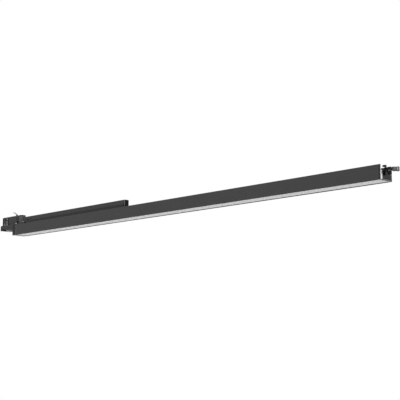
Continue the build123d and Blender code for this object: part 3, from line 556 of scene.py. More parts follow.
FINISHES: tuple[Finish, ...] = (
    # The profile's left end carries a painted highlight line.
    PowderCoat("housing_black", rough=0.50, round_mm=0.35, shine=0.30, highlight_line_at=(PROFILE_START,)),
    MouldedPlastic("cap_black", rough=0.13, round_mm=0.7, shine=0.16, tone=0.25,
                   grain=900.0, depth=0.000003, wear=0.01),
    OpalPlastic("opal_diffuser", rough=0.42),
    LightBoardLacquer("board_white", rough=0.35, round_mm=0.1),
    Phosphor("led_phosphor", rough=0.28),
    MouldedPlastic("connector_white", rough=0.45, wear=0.2),
    # The block's right end carries a thin painted highlight line.
    MouldedPlastic("adaptor_black", rough=0.48, round_mm=0.3, shine=0.20, tone=0.64,
                   highlight_line_at=(BLOCK_END,), highlight_line_width=0.00005, highlight_line_share=0.12),
    MouldedPlastic("cam_grey", rough=0.52, round_mm=0.3, shine=0.3, tone=0.72),
    MouldedPlastic("lever_grey", rough=0.36, round_mm=0.3, tone=1.45, wear=0.15),
    MouldedPlastic("drum_grey", rough=0.45),
    BareMetal("contact_copper", rough=0.28, lines=Grain.ROUND, tarnish=0.2),
    BareMetal("contact_nickel", rough=0.40, round_mm=0.15, tone=0.32, tarnish=0.08),
    BareMetal("plated_steel", rough=0.34, lines=Grain.ALONG_X, tarnish=0.18),
    BareMetal("spring_steel", rough=0.40, round_mm=0.04, tone=0.10, lines=Grain.ALONG_X,
              tarnish=0.3),
    PowderCoat("screw_black", rough=0.38, round_mm=0.1, wear=0.10),
    BareMetal("screw_bright", rough=0.25, round_mm=0.1, tarnish=0.1),
    PowderCoat("driver_black", rough=0.46, round_mm=0.3, shine=0.28, tone=0.7),
    CircuitBoard("board_green", rough=0.32, round_mm=0.1),
    MouldedPlastic("ferrite", rough=0.6, grain=3400.0, depth=0.00004, wear=0.06),
    Winding("coil_copper", rough=0.30),
    Insulation("capacitor_sleeve", rough=0.25),
    MouldedPlastic("chip_black", rough=0.55, shine=0.03, tone=0.2),
    *(Insulation(slot, rough=0.42) for slot in ("lead_brown", "lead_blue", "lead_red",
                                                "lead_black")),
    Insulation("grommet_rubber", rough=0.7),
    MouldedPlastic("latch_black", rough=0.30, round_mm=0.4, tone=0.8, grain=1500.0,
                   depth=0.000008, wear=0.08),
    PowderCoat("bracket_black", rough=0.42, shine=0.15, tone=0.6),
    MouldedPlastic("knob_black", rough=0.30, round_mm=0.2, shine=0.10, tone=0.3,
                   grain=1200.0, depth=0.000004, wear=0.02),
)


# ---------------------------------------------------------------- shapes
@dataclass
class Shell:
    """Points and faces of one or more closed surfaces, in millimetres.

    Attributes:
        points: The points' coordinates, a row for each.
        faces: The faces, each a list of point numbers.
    """

    points: np.ndarray
    faces: list = field(default_factory=list)

    @classmethod
    def from_rings(cls, rings: np.ndarray, closed: bool = False) -> "Shell":
        """Joins rings of points into a skin: the rings follow one another along the shape.

        Args:
            rings: Array of ring, point and coordinate.
            closed: Whether the last ring joins the first, or both ends are capped.

        Returns:
            The closed skin.
        """
        rows, columns = rings.shape[:2]
        i, j = np.mgrid[0:rows if closed else rows - 1, 0:columns].reshape(2, -1)
        k, m = (i + 1) % rows, (j + 1) % columns
        quads = [i * columns + j, k * columns + j, k * columns + m, i * columns + m]
        faces = np.stack(quads, axis=1).tolist()
        if not closed:
            faces.append(list(range(columns))[::-1])
            faces.append(list(range((rows - 1) * columns, rows * columns)))
        return cls(rings.reshape(-1, 3), faces)

    def __add__(self, other: "Shell") -> "Shell":
        """Puts two shells in one.

        Args:
            other: The shell whose points and faces come last.

        Returns:
            The joined shell.
        """
        shift = len(self.points)
        more = [[n + shift for n in face] for face in other.faces]
        return Shell(np.vstack([self.points, other.points]), self.faces + more)

    @staticmethod
    def joined(shells: Iterable["Shell"]) -> "Shell":
        """All the shells in one, in their order."""
        return reduce(Shell.__add__, shells)

    def moved(self, x: float, y: float, z: float) -> "Shell":
        """A copy that is shifted by millimetres."""
        return Shell(self.points + np.array([x, y, z]), self.faces)

    def onto(self, origin: tuple, u: tuple, v: tuple, w: tuple) -> "Shell":
        """A copy whose own axes lie along three given directions from an origin."""
        turned_points = self.points @ np.array([u, v, w], dtype=float)
        return Shell(np.array(origin) + turned_points, self.faces)

    def on_side(self, x: float, y: float, z: float, side: float = -1.0) -> "Shell":
        """A copy laid on a wall that faces along Y, towards -Y or +Y by the sign of side."""
        return self.onto((x, y, z), (1, 0, 0), (0, 0, 1), (0, side, 0))


def outline_circle(radius: float, count: int = 48) -> np.ndarray:
    """Points on a circle: radius times cosine and sine of evenly spaced angles."""
    angle = np.linspace(0.0, 2.0 * np.pi, count, endpoint=False)
    return radius * np.stack([np.cos(angle), np.sin(angle)], axis=1)


def outline_rounded(width: float, height: float, radius: float, steps: int = 6) -> np.ndarray:
    """Points on a rounded rectangle: four quarter circles about the inner corners.

    Args:
        width: Full size along the first axis.
        height: Full size along the second axis.
        radius: Corner radius.
        steps: Points in each corner.

    Returns:
        The outline's points, counterclockwise.
    """
    angle = np.linspace(0.0, np.pi / 2.0, steps)
    quarter = np.arange(4)[:, None] * np.pi / 2.0 + angle[None, :]
    centre_x = np.array([1, -1, -1, 1])[:, None] * (width / 2.0 - radius)
    centre_y = np.array([1, 1, -1, -1])[:, None] * (height / 2.0 - radius)
    x = centre_x + radius * np.cos(quarter)
    y = centre_y + radius * np.sin(quarter)
    return np.stack([x, y], axis=2).reshape(-1, 2)


def inset(outline: np.ndarray, depth: float) -> np.ndarray:
    """Moves an outline inwards, square to the line between each point's two neighbours.

    Args:
        outline: Closed counterclockwise outline.
        depth: How far inwards.

    Returns:
        The smaller outline.
    """
    along = np.roll(outline, -1, axis=0) - np.roll(outline, 1, axis=0)
    along /= np.maximum(np.linalg.norm(along, axis=1, keepdims=True), 1e-9)
    return outline + depth * np.stack([-along[:, 1], along[:, 0]], axis=1)


def plate(outline: np.ndarray, low: float, high: float, bevel: float, steps: int = 4) -> Shell:
    """A plate with rounded rims: rings of the outline, inset along a quarter circle at each rim.

    Args:
        outline: Closed counterclockwise outline in the plane.
        low: Height of the lower face.
        high: Height of the upper face.
        bevel: Rounding of both rims.
        steps: Rings in each rounding.

    Returns:
        The closed plate.
    """
    angle = np.linspace(0.0, np.pi / 2.0, steps)
    falling, rising = bevel * (1.0 - np.sin(angle)), bevel * (1.0 - np.cos(angle))
    depth = np.concatenate([falling, rising])
    height = np.concatenate([low + rising, high - falling])
    rings = [np.column_stack([inset(outline, d), np.full(len(outline), h)])
             for d, h in zip(depth, height)]
    return Shell.from_rings(np.array(rings))


def turned(points: np.ndarray, count: int = 64, ripple: float = 0.0, teeth: int = 0,
           band: tuple[float, float] = (0.0, 0.0)) -> Shell:
    """A turned shape about Z: each profile point is carried round a circle.

    Args:
        points: Radius and height of each profile point, from bottom to top.
        count: Points round the circle.
        ripple: Depth of knurling, taken off the radius as a cosine of the angle times the teeth.
        teeth: Number of knurls.
        band: Heights between which the knurling lies.

    Returns:
        The closed shape.
    """
    angle = np.linspace(0.0, 2.0 * np.pi, count, endpoint=False)[None, :]
    radius, height = points[:, :1], points[:, 1:]
    inside = (height > band[0]) & (height < band[1])
    radius = radius - inside * ripple * (0.5 + 0.5 * np.cos(teeth * angle))
    rings = [radius * np.cos(angle), radius * np.sin(angle), height + 0.0 * angle]
    return Shell.from_rings(np.stack(rings, axis=2))


def swept(path: np.ndarray, across: np.ndarray, section: np.ndarray,
          scale: np.ndarray | None = None) -> Shell:
    """Carries a section along a path in one plane, its second axis square to the path there.

    Args:
        path: Points of the path.
        across: Unit normal of the path's plane, along the section's first axis.
        section: Closed outline of the section.
        scale: Size of the section along its first axis at each point.

    Returns:
        The closed shape.
    """
    along = np.gradient(path, axis=0)
    along /= np.linalg.norm(along, axis=1, keepdims=True)
    upward = np.cross(along, across)
    size = np.ones(len(path)) if scale is None else scale
    first = section[None, :, 0, None] * across[None, None, :] * size[:, None, None]
    second = section[None, :, 1, None] * upward[:, None, :]
    return Shell.from_rings(path[:, None, :] + first + second)


def beading(outline: np.ndarray, radius: float, count: int = 10) -> Shell:
    """A round bead along a closed outline in the plane: a small circle about each of its points.

    Args:
        outline: The bead's middle line.
        radius: The bead's radius.
        count: Points round the bead.

    Returns:
        The closed ring.
    """
    rings = [np.column_stack([inset(outline, x), np.full(len(outline), y)])
             for x, y in outline_circle(radius, count)]
    return Shell.from_rings(np.array(rings), closed=True)


def tile(width: float, height: float, corner: float, sunk: float, proud: float,
         bevel: float) -> Shell:
    """A plate with rounded corners to lay on a wall.

    Args:
        width: Size along the wall's first direction.
        height: Size along the wall's second direction.
        corner: Radius of its corners.
        sunk: How far it reaches into the wall.
        proud: How far it stands out.
        bevel: Rounding of its rims.

    Returns:
        The closed plate.
    """
    return plate(outline_rounded(width, height, corner), -sunk, proud, bevel)


# ---------------------------------------------------------------- workshop
@dataclass
class Workshop:
    """Makes objects from shells and gives them their finish and their body.

    Attributes:
        materials: The finished materials by slot.
    """

    materials: dict[str, bpy.types.Material] = field(default_factory=dict)

    def mix_finishes(self) -> None:
        """Builds every finish once."""
        for finish in FINISHES:
            self.materials[finish.slot] = finish.build()
            LOG.info("finish %s", finish.slot)

    def dress_all(self) -> None:
        """Gives every CAD node the finish of its slot in the record."""
        for part in frame["record"]["subparts"]:
            mesh = frame["nodes"][part["node"]].data
            mesh.materials.clear()
            mesh.materials.append(self.materials[part["material_slot"]])

    def make(self, name: str, shell: Shell, slot: str, body: str = "luminaire",
             instead_of: str = "", smooth_deg: float = 38.0) -> None:
        """Makes one piece, with its doubles merged and its faces turned outwards.

        Args:
            name: The piece's name.
            shell: Its surface, in millimetres.
            slot: The material slot.
            body: The body that it moves with.
            instead_of: The CAD node that it stands for, if any.
            smooth_deg: Edges flatter than this are shaded smooth.
        """
        mesh = bpy.data.meshes.new(name)
        mesh.from_pydata((shell.points * MM).tolist(), [], shell.faces)
        work = bmesh.new()
        work.from_mesh(mesh)
        bmesh.ops.remove_doubles(work, verts=work.verts, dist=MERGE_WITHIN)
        bmesh.ops.recalc_face_normals(work, faces=work.faces)
        for edge in work.edges:
            edge.smooth = edge.is_manifold and edge.calc_face_angle(0.0) < math.radians(smooth_deg)
        work.to_mesh(mesh)
        work.free()
        mesh.polygons.foreach_set("use_smooth", np.ones(len(mesh.polygons), dtype=bool))
        mesh.materials.append(self.materials[slot])
        piece = bpy.data.objects.new(name, mesh)
        bpy.context.scene.collection.objects.link(piece)
        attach(piece, body)
        if instead_of:
            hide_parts(instead_of)
        LOG.info("piece %s, %d faces, on %s", name, len(mesh.polygons), body)


def span(node: str) -> tuple[np.ndarray, np.ndarray]:
    """Lowest and highest corner of a CAD node, in millimetres."""
    low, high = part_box(node)
    return np.array(low) / MM, np.array(high) / MM


# ---------------------------------------------------------------- sub-assemblies
@dataclass
class Assembly:
    """What every sub-assembly shares.

    Attributes:
        shop: Where its pieces are made.
    """

    shop: Workshop

    def build(self) -> None:
        """Makes the sub-assembly's pieces."""
        raise NotImplementedError


@dataclass
class LightCover(Assembly):
    """The opal cover: a slightly crowned plate with two snap legs.

    Attributes:
        crown: How far the middle stands below the edges.
        lift: How far the outermost points are lifted, which softens the edge.
        lip: Height of the edge's rounding.
        thick: Thickness of the plate.
        leg: Thickness of a leg.
        leg_in: From the plate's edge in to a leg's outer face.
        hook: How far a leg's hook stands out.
        hook_rise: From the plate up to the hook's foot and to its point.
        grid: Sections along the cover and points across its crown.
    """

    crown: float = 0.45
    lift: float = 0.25
    lip: float = 0.5
    thick: float = 1.5
    leg: float = 1.0
    leg_in: float = 0.7
    hook: float = 0.5
    hook_rise: tuple[float, float] = (1.0, 1.2)
    grid: tuple[int, int] = (24, 41)

    def build(self) -> None:
        """Carries the section along X. The underside is a parabola, lowest on the centre line."""
        low, high = span("diffuser")
        half, flat = high[1], low[2]
        across = np.linspace(-half, half, self.grid[1])
        under = flat - self.crown * (1.0 - (across / half) ** 2)
        under[[0, -1]] += self.lift
        top = flat + self.thick
        leg_out = half - self.leg_in
        leg_in = leg_out - self.leg
        foot, point = (top + rise for rise in self.hook_rise)
        right = np.array([(half, flat + self.lip), (half, top), (leg_out, top), (leg_out, foot),
                          (leg_out + self.hook, point), (leg_out, high[2]), (leg_in, high[2]),
                          (leg_in, top)])
        left = right[::-1] * (-1.0, 1.0)
        section = np.vstack([np.column_stack([across, under]), right, left])
        along = np.linspace(low[0], high[0], self.grid[0])
        rings = [np.column_stack([np.full(len(section), x), section]) for x in along]
        self.shop.make("opal_cover", Shell.from_rings(np.array(rings)), "opal_diffuser",
                       instead_of="diffuser", smooth_deg=25.0)


@dataclass
class Adaptor(Assembly):
    """Details of the adaptor: its slots, ribs, dial, lever, cam and earth contacts.

    Attributes:
        seat: Height of the flange that the block stands on.
        roof: Height of the block's roof.
        wall: From the centre line to the block's side walls.
        levels: Heights of the three contact slots above the seat.
        slot: Width, height and corner radius of a contact slot.
        beads: Radius of the bead round each slot, from the lowest up.
        gap: From a slot's edge to the frame.
        frame: Lowest and highest edge of the frame above the seat.
        uprights: Widths of the frame's left and right upright.
        hub: Radius of the lever's hub.
        tip: Radius of the lever's tip.
        band: Profile of the painted-shade ring round the cam's top, counted from the cam's radius
            and the ring's top.
        curl: Radius of the earth strip's curl round its pin.
        bow: How far the earth strip bows up, and how far its tip bends down again.
        strip: Thickness and corner radius of the earth strip.
        roll: Radius of the earth strip's rolled tip.
    """

    seat: float = 30.6
    roof: float = 53.0
    wall: float = 12.0
    levels: tuple[float, ...] = (2.7, 9.3, 17.0)
    slot: tuple[float, float, float] = (17.2, 3.4, 1.2)
    beads: tuple[float, ...] = (0.45, 0.28, 0.28)
    gap: float = 0.5
    frame: tuple[float, float] = (0.3, 20.7)
    uprights: tuple[float, float] = (4.6, 3.4)
    hub: float = 6.5
    tip: float = 3.2
    band: tuple = ((-0.8, -2.4), (0.05, -2.4), (0.2, -2.2), (0.2, -0.3), (0.0, 0.0), (-0.8, 0.0))
    curl: float = 0.92
    bow: float = 0.9
    strip: tuple[float, float] = (0.5, 0.22)
    roll: float = 0.6

    @property
    def slots_x(self) -> float:
        """Where the slots' middles are along X, a little to the left of the drum's axis."""
        low, high = span("contact_drum")
        return (low[0] + high[0]) / 2.0 - 1.5

    def build(self) -> None:
        """Makes every piece of the adaptor."""
        self.slot_beads()
        self.slot_frame()
        self.ribs()
        self.dial_marks()
        self.paddle()
        self.earth_tips()
        self.shade_cam_rim()
        self.earth_strip()

    def slot_beads(self) -> None:
        """A round bead along each slot's outline; the lowest is pale and the upper two grey, as
        painted light and shade on alike beads.
        """
        outline, wall = outline_rounded(*self.slot), 0.05 - self.wall
        beads = [beading(outline, radius).on_side(self.slots_x, wall, self.seat + level)
                 for level, radius in zip(self.levels, self.beads)]
        # Pale lowest bead and greyer upper beads: painted light and painted shade.
        self.shop.make("contact_slot_bead_lit", beads[0], "connector_white")
        self.shop.make("contact_slot_beads_shaded", beads[1] + beads[2], "lever_grey")

    def slot_frame(self) -> None:
        """A black frame: two uprights, and a bar above, below and between the slots."""
        width, height, _ = self.slot
        middle = self.slots_x
        low, high = (self.seat + level for level in self.frame)
        edges = [low]
        for level in self.levels:
            edges.append(self.seat + level - height / 2 - self.gap)
            edges.append(self.seat + level + height / 2 + self.gap)
        edges.append(high)
        inner = width / 2 + self.gap
        left, right = middle - inner - self.uprights[0], middle + inner + self.uprights[1]
        boxes = [(left, middle - inner, low, high), (middle + inner, right, low, high)]
        boxes += [(left + 1.0, right - 1.0, a, b) for a, b in zip(edges[0::2], edges[1::2])]
        bars = []
        for x0, x1, z0, z1 in boxes:
            corner = min(x1 - x0, z1 - z0) * 0.3
            bar = tile(x1 - x0, z1 - z0, corner, 0.3, 0.45, min(0.2, corner))
            bars.append(bar.on_side((x0 + x1) / 2, -self.wall, (z0 + z1) / 2))
        self.shop.make("contact_shield", Shell.joined(bars), "chip_black")

    def ribs(self) -> None:
        """Two long ribs on each side wall and six short ribs across the roof."""
        end = span("adaptor_block")[0][0]
        left, right = end + BLOCK_START_MM, end + BLOCK_END_MM
        rib = tile(right - left - 6.0, 0.9, 0.45, 0.4, 0.5, 0.2)
        sides = [rib.on_side((left + right) / 2, side * self.wall, self.seat + height, side)
                 for side in SIDES for height in (0.45, 20.2)]
        self.shop.make("block_side_ribs", Shell.joined(sides), "adaptor_black")
        rib = tile(1.2, 17.0, 0.55, 0.2, 0.35, 0.25)
        across = [rib.moved(left + 6.0 + 4.0 * step, 0.0, self.roof) for step in range(6)]
        self.shop.make("block_roof_ribs", Shell.joined(across), "adaptor_black")

    def dial_marks(self) -> None:
        """Three ticks, each along its own radius, and a low rim round the dial, under the base."""
        low, high = span("phase_dial")
        axis = (low[0] + high[0]) / 2.0
        under = span("adaptor_base")[0][2]
        mark, away = tile(1.8, 0.7, 0.3, 0.25, 0.2, 0.15), 8.6
        ticks = []
        for turn in (180.0, 270.0, 360.0):
            x, y = math.cos(math.radians(turn)), math.sin(math.radians(turn))
            at = (axis + away * x, away * y, under + 0.05)
            ticks.append(mark.onto(at, (x, y, 0), (-y, x, 0), (0, 0, -1)))
        self.shop.make("dial_ticks", Shell.joined(ticks), "connector_white")
        rim = beading(outline_circle(7.4), 0.3).moved(axis, 0.0, under + 0.1)
        self.shop.make("dial_rim", rim, "adaptor_black")

    def paddle(self) -> None:
        """The lever: the hub's arc and the tip's arc meet on their common tangents; with ridges."""
        low, high = span("lock_lever")
        hub_x, tip_x = high[0] - self.hub, low[0] + self.tip
        angle = math.acos((self.hub - self.tip) / (hub_x - tip_x))
        hub = np.linspace(-(math.pi - angle), math.pi - angle, 40)
        tip = np.linspace(math.pi - angle, math.pi + angle, 20)
        outline = np.vstack([
            np.column_stack([hub_x + self.hub * np.cos(hub), self.hub * np.sin(hub)]),
            np.column_stack([tip_x + self.tip * np.cos(tip), self.tip * np.sin(tip)])])
        under = low[2] + 0.35
        parts = [plate(outline, under, high[2], 0.4)]
        for step in range(4):
            ridge = tile(0.9, 5.2 + 0.5 * step, 0.4, 0.35, 0.3, 0.25)
            at = (tip_x + 1.8 * step, 0.0, under)
            parts.append(ridge.onto(at, (1, 0, 0), (0, 1, 0), (0, 0, -1)))
        self.shop.make("lock_paddle", Shell.joined(parts), "lever_grey", "lock_drive", "lock_lever")

    def earth_tips(self) -> None:
        """Bright worn faces on the earth contacts' outer sides, where they touch the track."""
        x, y, top = span("earth_contacts")[1]
        face = tile(2.8, top - self.seat - 0.2, 0.5, 0.15, 0.2, 0.15)
        faces = [face.on_side(x - 1.6, side * y, (self.seat + top) / 2, side) for side in SIDES]
        self.shop.make("earth_contact_tips", Shell.joined(faces), "screw_bright")

    def shade_cam_rim(self) -> None:
        """A black ring round the top of the lock cam, turned about the cam's axis, as painted shade
        on the cam's top rim.
        """
        low, high = span("lock_cam")
        # Near-black ring in chip_black: painted shade on the cam's upper rim.
        ring = turned(np.array(self.band) + (high[1], high[2] - 0.15))
        ring = ring.moved((low[0] + high[0]) / 2.0, 0.0, 0.0)
        self.shop.make("lock_cam_painted_shade", ring, "chip_black", "lock_cam")

    def earth_strip(self) -> None:
        """The sprung strip runs from the curl round its pin up to a rolled tip.

        Its bow is half a sine wave. Near the tip it bends down along a bell curve.
        """
        low, high = span("earth_spring")
        pin_low, pin_high = span("earth_spring_pin")
        pin_x, _, pin_z = (pin_low + pin_high) / 2.0
        t = np.linspace(0.0, 1.0, 40)
        run, rise = pin_x - low[0] - 1.6, high[2] - pin_z - 0.5
        bow = self.bow * np.sin(np.pi * t)
        dip = self.bow * np.exp(-((t - 1.0) / 0.05) ** 2)
        z = pin_z + 0.9 + (rise - 0.9) * t + bow - dip
        strip = np.column_stack([pin_x - run * t, 0.0 * t, z])
        turn = np.linspace(-1.5 * np.pi, 0.5 * np.pi, 28, endpoint=False)[4:]
        curl = np.column_stack([pin_x + self.curl * np.cos(turn), 0.0 * turn,
                                pin_z + self.curl * np.sin(turn)])
        scale = np.concatenate([np.ones(len(curl)), 1.0 - 0.1 * t ** 6])
        wide = high[1] - low[1]
        section = outline_rounded(wide, *self.strip, 4)
        shell = swept(np.vstack([curl, strip]), np.array([0.0, 1.0, 0.0]), section, scale)
        roll = plate(outline_circle(self.roll, 24), -0.45 * wide, 0.45 * wide, 0.15)
        x, _, z = strip[-1]
        shell = shell + roll.on_side(x, (low[1] + high[1]) / 2.0, z - 0.25)
        self.shop.make("earth_strip", shell, "spring_steel", "earth_spring", "earth_spring", 50.0)


@dataclass
class Driver(Assembly):
    """Details of the slim driver: snap tabs, lid seams, a painted-shade end panel, end rims and
    vents.

    Attributes:
        pitch: Distance between the snap tabs.
        tab_in: From the case's ends in to the tabs.
        tab_below: From the lid's seam down to the tabs.
        vents: Each vent's place from the left end and the foot, its width and its height.
    """

    pitch: float = 55.0
    tab_in: float = 15.0
    tab_below: float = 2.4
    vents: tuple = ((19.5, 8.2, 17.0, 1.8), (8.0, 2.6, 6.0, 2.2), (35.0, 7.5, 2.2, 12.0))

    def build(self) -> None:
        """Places the tabs in rows along both sides and the seams along the lid."""
        low, high = span("driver_case")
        tab = tile(6.0, 1.6, 0.5, 0.3, 0.22, 0.2)
        count = int((high[0] - low[0] - 2.0 * self.tab_in) // self.pitch) + 1
        tabs = [tab.on_side(low[0] + self.tab_in + number * self.pitch, side * high[1],
                            high[2] - self.tab_below, side)
                for number in range(count) for side in SIDES]
        self.shop.make("driver_snap_tabs", Shell.joined(tabs), "driver_black")
        seam = tile(high[0] - low[0] - 4.0, 0.36, 0.15, 0.2, 0.12, 0.1)
        seams = [seam.on_side((low[0] + high[0]) / 2, side * high[1], high[2], side)
                 for side in SIDES]
        self.shop.make("driver_lid_seams", Shell.joined(seams), "adaptor_black")
        self.ends()

    def ends(self) -> None:
        """A black panel in the right end as painted shade, its paler rims, and three vents beside
        the left end.
        """
        low, high = span("driver_plug_right")
        left = span("driver_plug_left")[0][0]
        tall, wide, middle = high[2] - low[2], high[1] - low[1], (low[2] + high[2]) / 2
        # Near-black panel over the end face: painted shade.
        panel = tile(wide - 1.0, tall - 1.0, 0.8, 0.2, 0.15, 0.1)
        panel = panel.onto((high[0], 0.0, middle), (0, 1, 0), (0, 0, 1), (1, 0, 0))
        self.shop.make("driver_end_painted_shade", panel, "chip_black")
        rim = tile(1.1, tall - 0.6, 0.4, 0.2, 0.12, 0.1)
        rims = [rim.on_side(high[0] - 0.75, side * high[1], middle, side) for side in SIDES]
        vents = [tile(width, height, 0.8, 0.2, 0.1, 0.08).on_side(
                     left + at, side * high[1], low[2] + rise, side)
                 for side in SIDES for at, rise, width, height in self.vents]
        self.shop.make("driver_end_rim", Shell.joined(rims), "drum_grey")
        self.shop.make("driver_vents", Shell.joined(vents), "chip_black")


@dataclass
class Latch(Assembly):
    """The turning latch: tongue with raised head, finger blade, and the knurled knob below.

    Attributes:
        lift: From the lever's lowest point up to the blade's underside.
        blade: Height, thickness and corner radius of the blade.
        tip: Radius of the bead at the blade's tip.
        hub: From the blade's underside to the hub's, and the hub's thickness.
        arm: Length, width and corner radius of the tongue's arm.
        post: The same of the post that carries the head.
        head: The same of the head.
        bridge: The same of the piece between hub and blade.
        stack: Heights on the pin from its top: its head, the hub, the tab with washer, and room.
        knurl: Depth and number of the knob's knurls.
    """

    lift: float = 0.3
    blade: tuple[float, float, float] = (7.8, 4.6, 1.2)
    tip: float = 2.9
    hub: tuple[float, float] = (4.6, 3.4)
    arm: tuple[float, float, float] = (9.0, 5.0, 0.8)
    post: tuple[float, float, float] = (2.2, 5.0, 0.5)
    head: tuple[float, float, float] = (6.5, 5.0, 0.9)
    bridge: tuple[float, float, float] = (7.0, 5.2, 1.0)
    stack: tuple[float, ...] = (0.6, 3.4, 2.4, 0.5)
    knurl: tuple[float, int] = (0.28, 24)

    @property
    def pivot_x(self) -> float:
        """Where the pivot's axis is along X."""
        low, high = span("latch_pivot")
        return (low[0] + high[0]) / 2.0

    def build(self) -> None:
        """Makes the tongue, the finger and the knob."""
        self.tongue()
        self.finger()
        self.knob()

    def tongue(self) -> None:
        """A turned hub, an arm to the left of it, and a post and a head on the arm."""
        low, high = span("latch_lever")
        end, foot = low[0], low[2] + self.lift + self.hub[0]
        top = foot + self.hub[1]
        hub = turned(np.array([[2.58, foot], [4.3, foot], [4.6, foot + 0.3], [4.6, top - 0.5],
                               [4.1, top], [2.58, top]]))
        arm = plate(outline_rounded(*self.arm), foot, top, 0.5)
        post = plate(outline_rounded(*self.post), foot + 0.3, foot + 6.4, 0.3)
        head = plate(outline_rounded(*self.head), foot + 5.9, high[2], 0.6)
        parts = (hub.moved(self.pivot_x, 0.0, 0.0),
                 arm.moved(end + 2.5 + self.arm[0] / 2, 0.0, 0.0),
                 post.moved(end + 6.5 - self.post[0] / 2, 0.0, 0.0),
                 head.moved(end + self.head[0] / 2, 0.0, 0.0))
        self.shop.make("latch_tongue", Shell.joined(parts), "knob_black", "latch", smooth_deg=40.0)

    def finger(self) -> None:
        """A blade from the hub that bends to +Y, with a bead at its tip and a pale strip on the
        bead's front that is a painted highlight.

        The bend is a small straight share plus a power of the way along.
        """
        low, high = span("latch_lever")
        foot = low[2] + self.lift
        top = foot + self.blade[0]
        middle = (foot + top) / 2.0
        t = np.linspace(0.0, 1.0, 24)
        start, end, side = self.pivot_x + 6.7, high[0] - self.tip, high[1] - self.tip
        path = np.column_stack([start + (end - start) * t, side * (0.15 * t + 0.85 * t ** 1.6),
                                np.full_like(t, middle)])
        blade = swept(path, np.array([0.0, 0.0, 1.0]), outline_rounded(*self.blade))
        bead = turned(np.array([[1.9, foot - 0.3], [self.tip, foot + 0.7], [self.tip, top - 0.7],
                                [1.9, top + 0.3]]), 32)
        bridge = plate(outline_rounded(*self.bridge), foot + self.hub[0], top, 0.5)
        bridge = bridge.moved(self.pivot_x + 6.2, 0.4, 0.0)
        parts = (blade, bead.moved(end, side, 0.0), bridge)
        self.shop.make("latch_finger", Shell.joined(parts), "latch_black", "latch",
                       "latch_lever", 40.0)
        # Pale strip on the bead's front side: a painted highlight.
        ridge = tile(1.7, top - foot - 1.6, 0.7, 0.5, 0.15, 0.15)
        ridge = ridge.onto((end + 0.6, side - 2.85, middle), (0.98, 0.2, 0), (0, 0, 1),
                           (0.2, -0.98, 0))
        self.shop.make("latch_finger_highlight", ridge, "lever_grey", "latch", smooth_deg=40.0)

    def knob(self) -> None:
        """Knurled knob, pin and head, turned in one."""
        low, high = (corner[2] for corner in span("latch_pivot"))
        head, hub, tab, room = self.stack
        top = high - head - hub - tab - room
        points = np.array([[0.05, low + 0.4], [2.2, low + 0.35], [2.6, low], [3.3, low],
                           [3.9, low + 0.7], [3.9, top - 1.2], [3.6, top - 0.9], [3.6, top],
                           [2.5, top], [2.5, high - head], [3.6, high - head], [3.6, high - 0.2],
                           [3.3, high], [0.05, high]])
        knob = turned(points, 96, *self.knurl, (low + 0.3, top - 1.0))
        self.shop.make("latch_knob", knob.moved(self.pivot_x, 0.0, 0.0), "knob_black",
                       instead_of="latch_pivot")


# ---------------------------------------------------------------- studio
@dataclass(frozen=True)
class Lamp:
    """A soft rectangular lamp, in metres.

    Attributes:
        name: The lamp's name.
        place: Where it stands.
        target: What it points at.
        width: Its first size.
        height: Its second size.
        watts: Its power.
    """

    name: str
    place: tuple[float, float, float]
    target: tuple[float, float, float]
    width: float
    height: float
    watts: float

    def build(self) -> None:
        """Adds the lamp, tilted and turned so that its own -Z points at the target."""
        data = bpy.data.lights.new(self.name, "AREA")
        data.shape = "RECTANGLE"
        data.size, data.size_y = self.width, self.height
        data.energy = self.watts
        lamp = bpy.data.objects.new(self.name, data)
        lamp.location = self.place
        x, y, z = np.array(self.target) - np.array(self.place)
        lamp.rotation_euler = (math.atan2(math.hypot(x, y), -z), 0.0, math.atan2(-x, y))
        bpy.context.scene.collection.objects.link(lamp)


CAP_EDGE = (0.594, -0.018, 0.014)
LAMPS = (
    Lamp("key_lamp", (3.1, -3.9, 1.2), (0.0, 0.0, 0.0), 2.4, 1.6, 48.0),
    Lamp("side_lamp", (-0.3, -1.0, 0.5), (-0.2, 0.0, 0.0), 0.8, 0.6, 2.6),
    Lamp("low_lamp", (-0.5, -1.6, -2.4), (-0.2, 0.0, 0.0), 2.2, 1.6, 33.0),
    Lamp("edge_lamp", (1.394, 0.55, 0.20), CAP_EDGE, 0.24, 0.36, 9.6),
    Lamp("foot_lamp", (1.21, 0.97, -0.26), CAP_EDGE, 0.50, 0.25, 1.3),
)


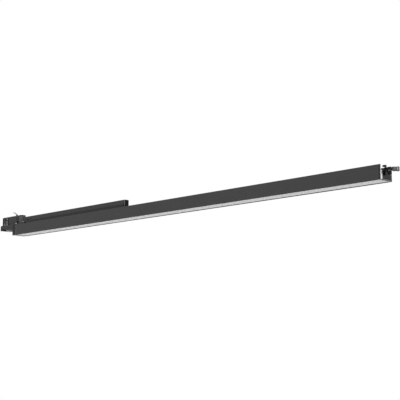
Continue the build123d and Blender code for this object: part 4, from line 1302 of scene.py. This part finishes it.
@dataclass
class Studio:
    """Plain pale studio: floor far below, white surround, soft lamps and the camera.

    Attributes:
        floor_z: Height of the floor, in metres.
        floor_radius: Radius of the floor, in metres.
        floor_points: Points round the floor.
        floor_grey: The floor's own grey.
        floor_glow: Share of plain white in the floor as the camera sees it.
        ambient: Strength of the surround's light.
        camera_at: The camera's place, in metres.
        camera_pitch_deg: The camera's tilt from straight down.
        camera_turn_deg: The camera's turn about Z.
        lens_mm: Focal length.
        sensor_mm: Width of the sensor.
        sight: How far the camera sees, in metres.
    """

    floor_z: float = -4.0
    floor_radius: float = 14.0
    floor_points: int = 64
    floor_grey: float = 0.86
    floor_glow: float = 0.85
    ambient: float = 0.36
    camera_at: tuple[float, float, float] = (1.43745, -1.32605, -0.287)
    camera_pitch_deg: float = 99.32
    camera_turn_deg: float = 44.6186
    lens_mm: float = 79.30
    sensor_mm: float = 36.0
    sight: float = 60.0

    def build(self) -> None:
        """Makes the surround, the floor, the lamps and the camera."""
        self.surround()
        self.floor()
        for lamp in LAMPS:
            lamp.build()
        self.camera()

    def surround(self) -> None:
        """The world is white for the camera and for mirrors, and a soft grey light otherwise."""
        net = Network(bpy.data.worlds.new("surround"))
        bpy.context.scene.world = net.owner
        path = net.node("ShaderNodeLightPath", {}, {})
        camera, mirror, glass = (Value(net, path.outputs["Is %s Ray" % kind])
                                 for kind in ("Camera", "Glossy", "Transmission"))
        soft, white = (net.node("ShaderNodeBackground", {}, {"Color": WHITE, "Strength": light})
                       for light in (self.ambient, 1.0))
        mix = net.node("ShaderNodeMixShader", {}, {0: camera.either(mirror).either(glass),
                                                   1: soft.outputs[0], 2: white.outputs[0]})
        net.node("ShaderNodeOutputWorld", {}, {"Surface": mix.outputs[0]})

    def floor(self) -> None:
        """A pale disc, nearly white of itself for the camera, that still takes a soft shadow."""
        net = Network(bpy.data.materials.new("pale_floor"))
        seen = net.value("ShaderNodeLightPath", {}, {}, "Is Camera Ray")
        grey = (self.floor_grey, self.floor_grey, self.floor_grey, 1.0)
        diffuse = net.node("ShaderNodeBsdfDiffuse", {}, {"Color": grey})
        glow = net.node("ShaderNodeEmission", {}, {"Color": WHITE, "Strength": 1.0})
        mix = net.node("ShaderNodeMixShader", {}, {0: seen * self.floor_glow,
                                                   1: diffuse.outputs[0], 2: glow.outputs[0]})
        net.node("ShaderNodeOutputMaterial", {}, {"Surface": mix.outputs[0]})
        circle = outline_circle(self.floor_radius, self.floor_points)
        points = np.column_stack([circle, np.full(self.floor_points, self.floor_z)])
        mesh = bpy.data.meshes.new("studio_floor")
        mesh.from_pydata(points.tolist(), [], [list(range(self.floor_points))])
        mesh.materials.append(net.owner)
        floor = bpy.data.objects.new("studio_floor", mesh)
        bpy.context.scene.collection.objects.link(floor)

    def camera(self) -> None:
        """Places the camera below the part, looking up along it."""
        data = bpy.data.cameras.new("camera")
        data.sensor_width = self.sensor_mm
        data.lens = self.lens_mm
        data.clip_end = self.sight
        data.dof.use_dof = False
        camera = bpy.data.objects.new("camera", data)
        camera.location = self.camera_at
        pitch, turn = math.radians(self.camera_pitch_deg), math.radians(self.camera_turn_deg)
        camera.rotation_euler = (pitch, 0.0, turn)
        bpy.context.scene.collection.objects.link(camera)
        bpy.context.scene.camera = camera


def main() -> None:
    """Builds the finishes, the pieces and the studio in order."""
    logging.basicConfig(level=logging.INFO, format="%(name)s: %(message)s")
    bpy.context.scene.view_settings.view_transform = "Standard"
    shop = Workshop()
    shop.mix_finishes()
    shop.dress_all()
    for part in (LightCover, Adaptor, Driver, Latch):
        part(shop).build()
    Studio().build()


if __name__ == "__main__":
    main()
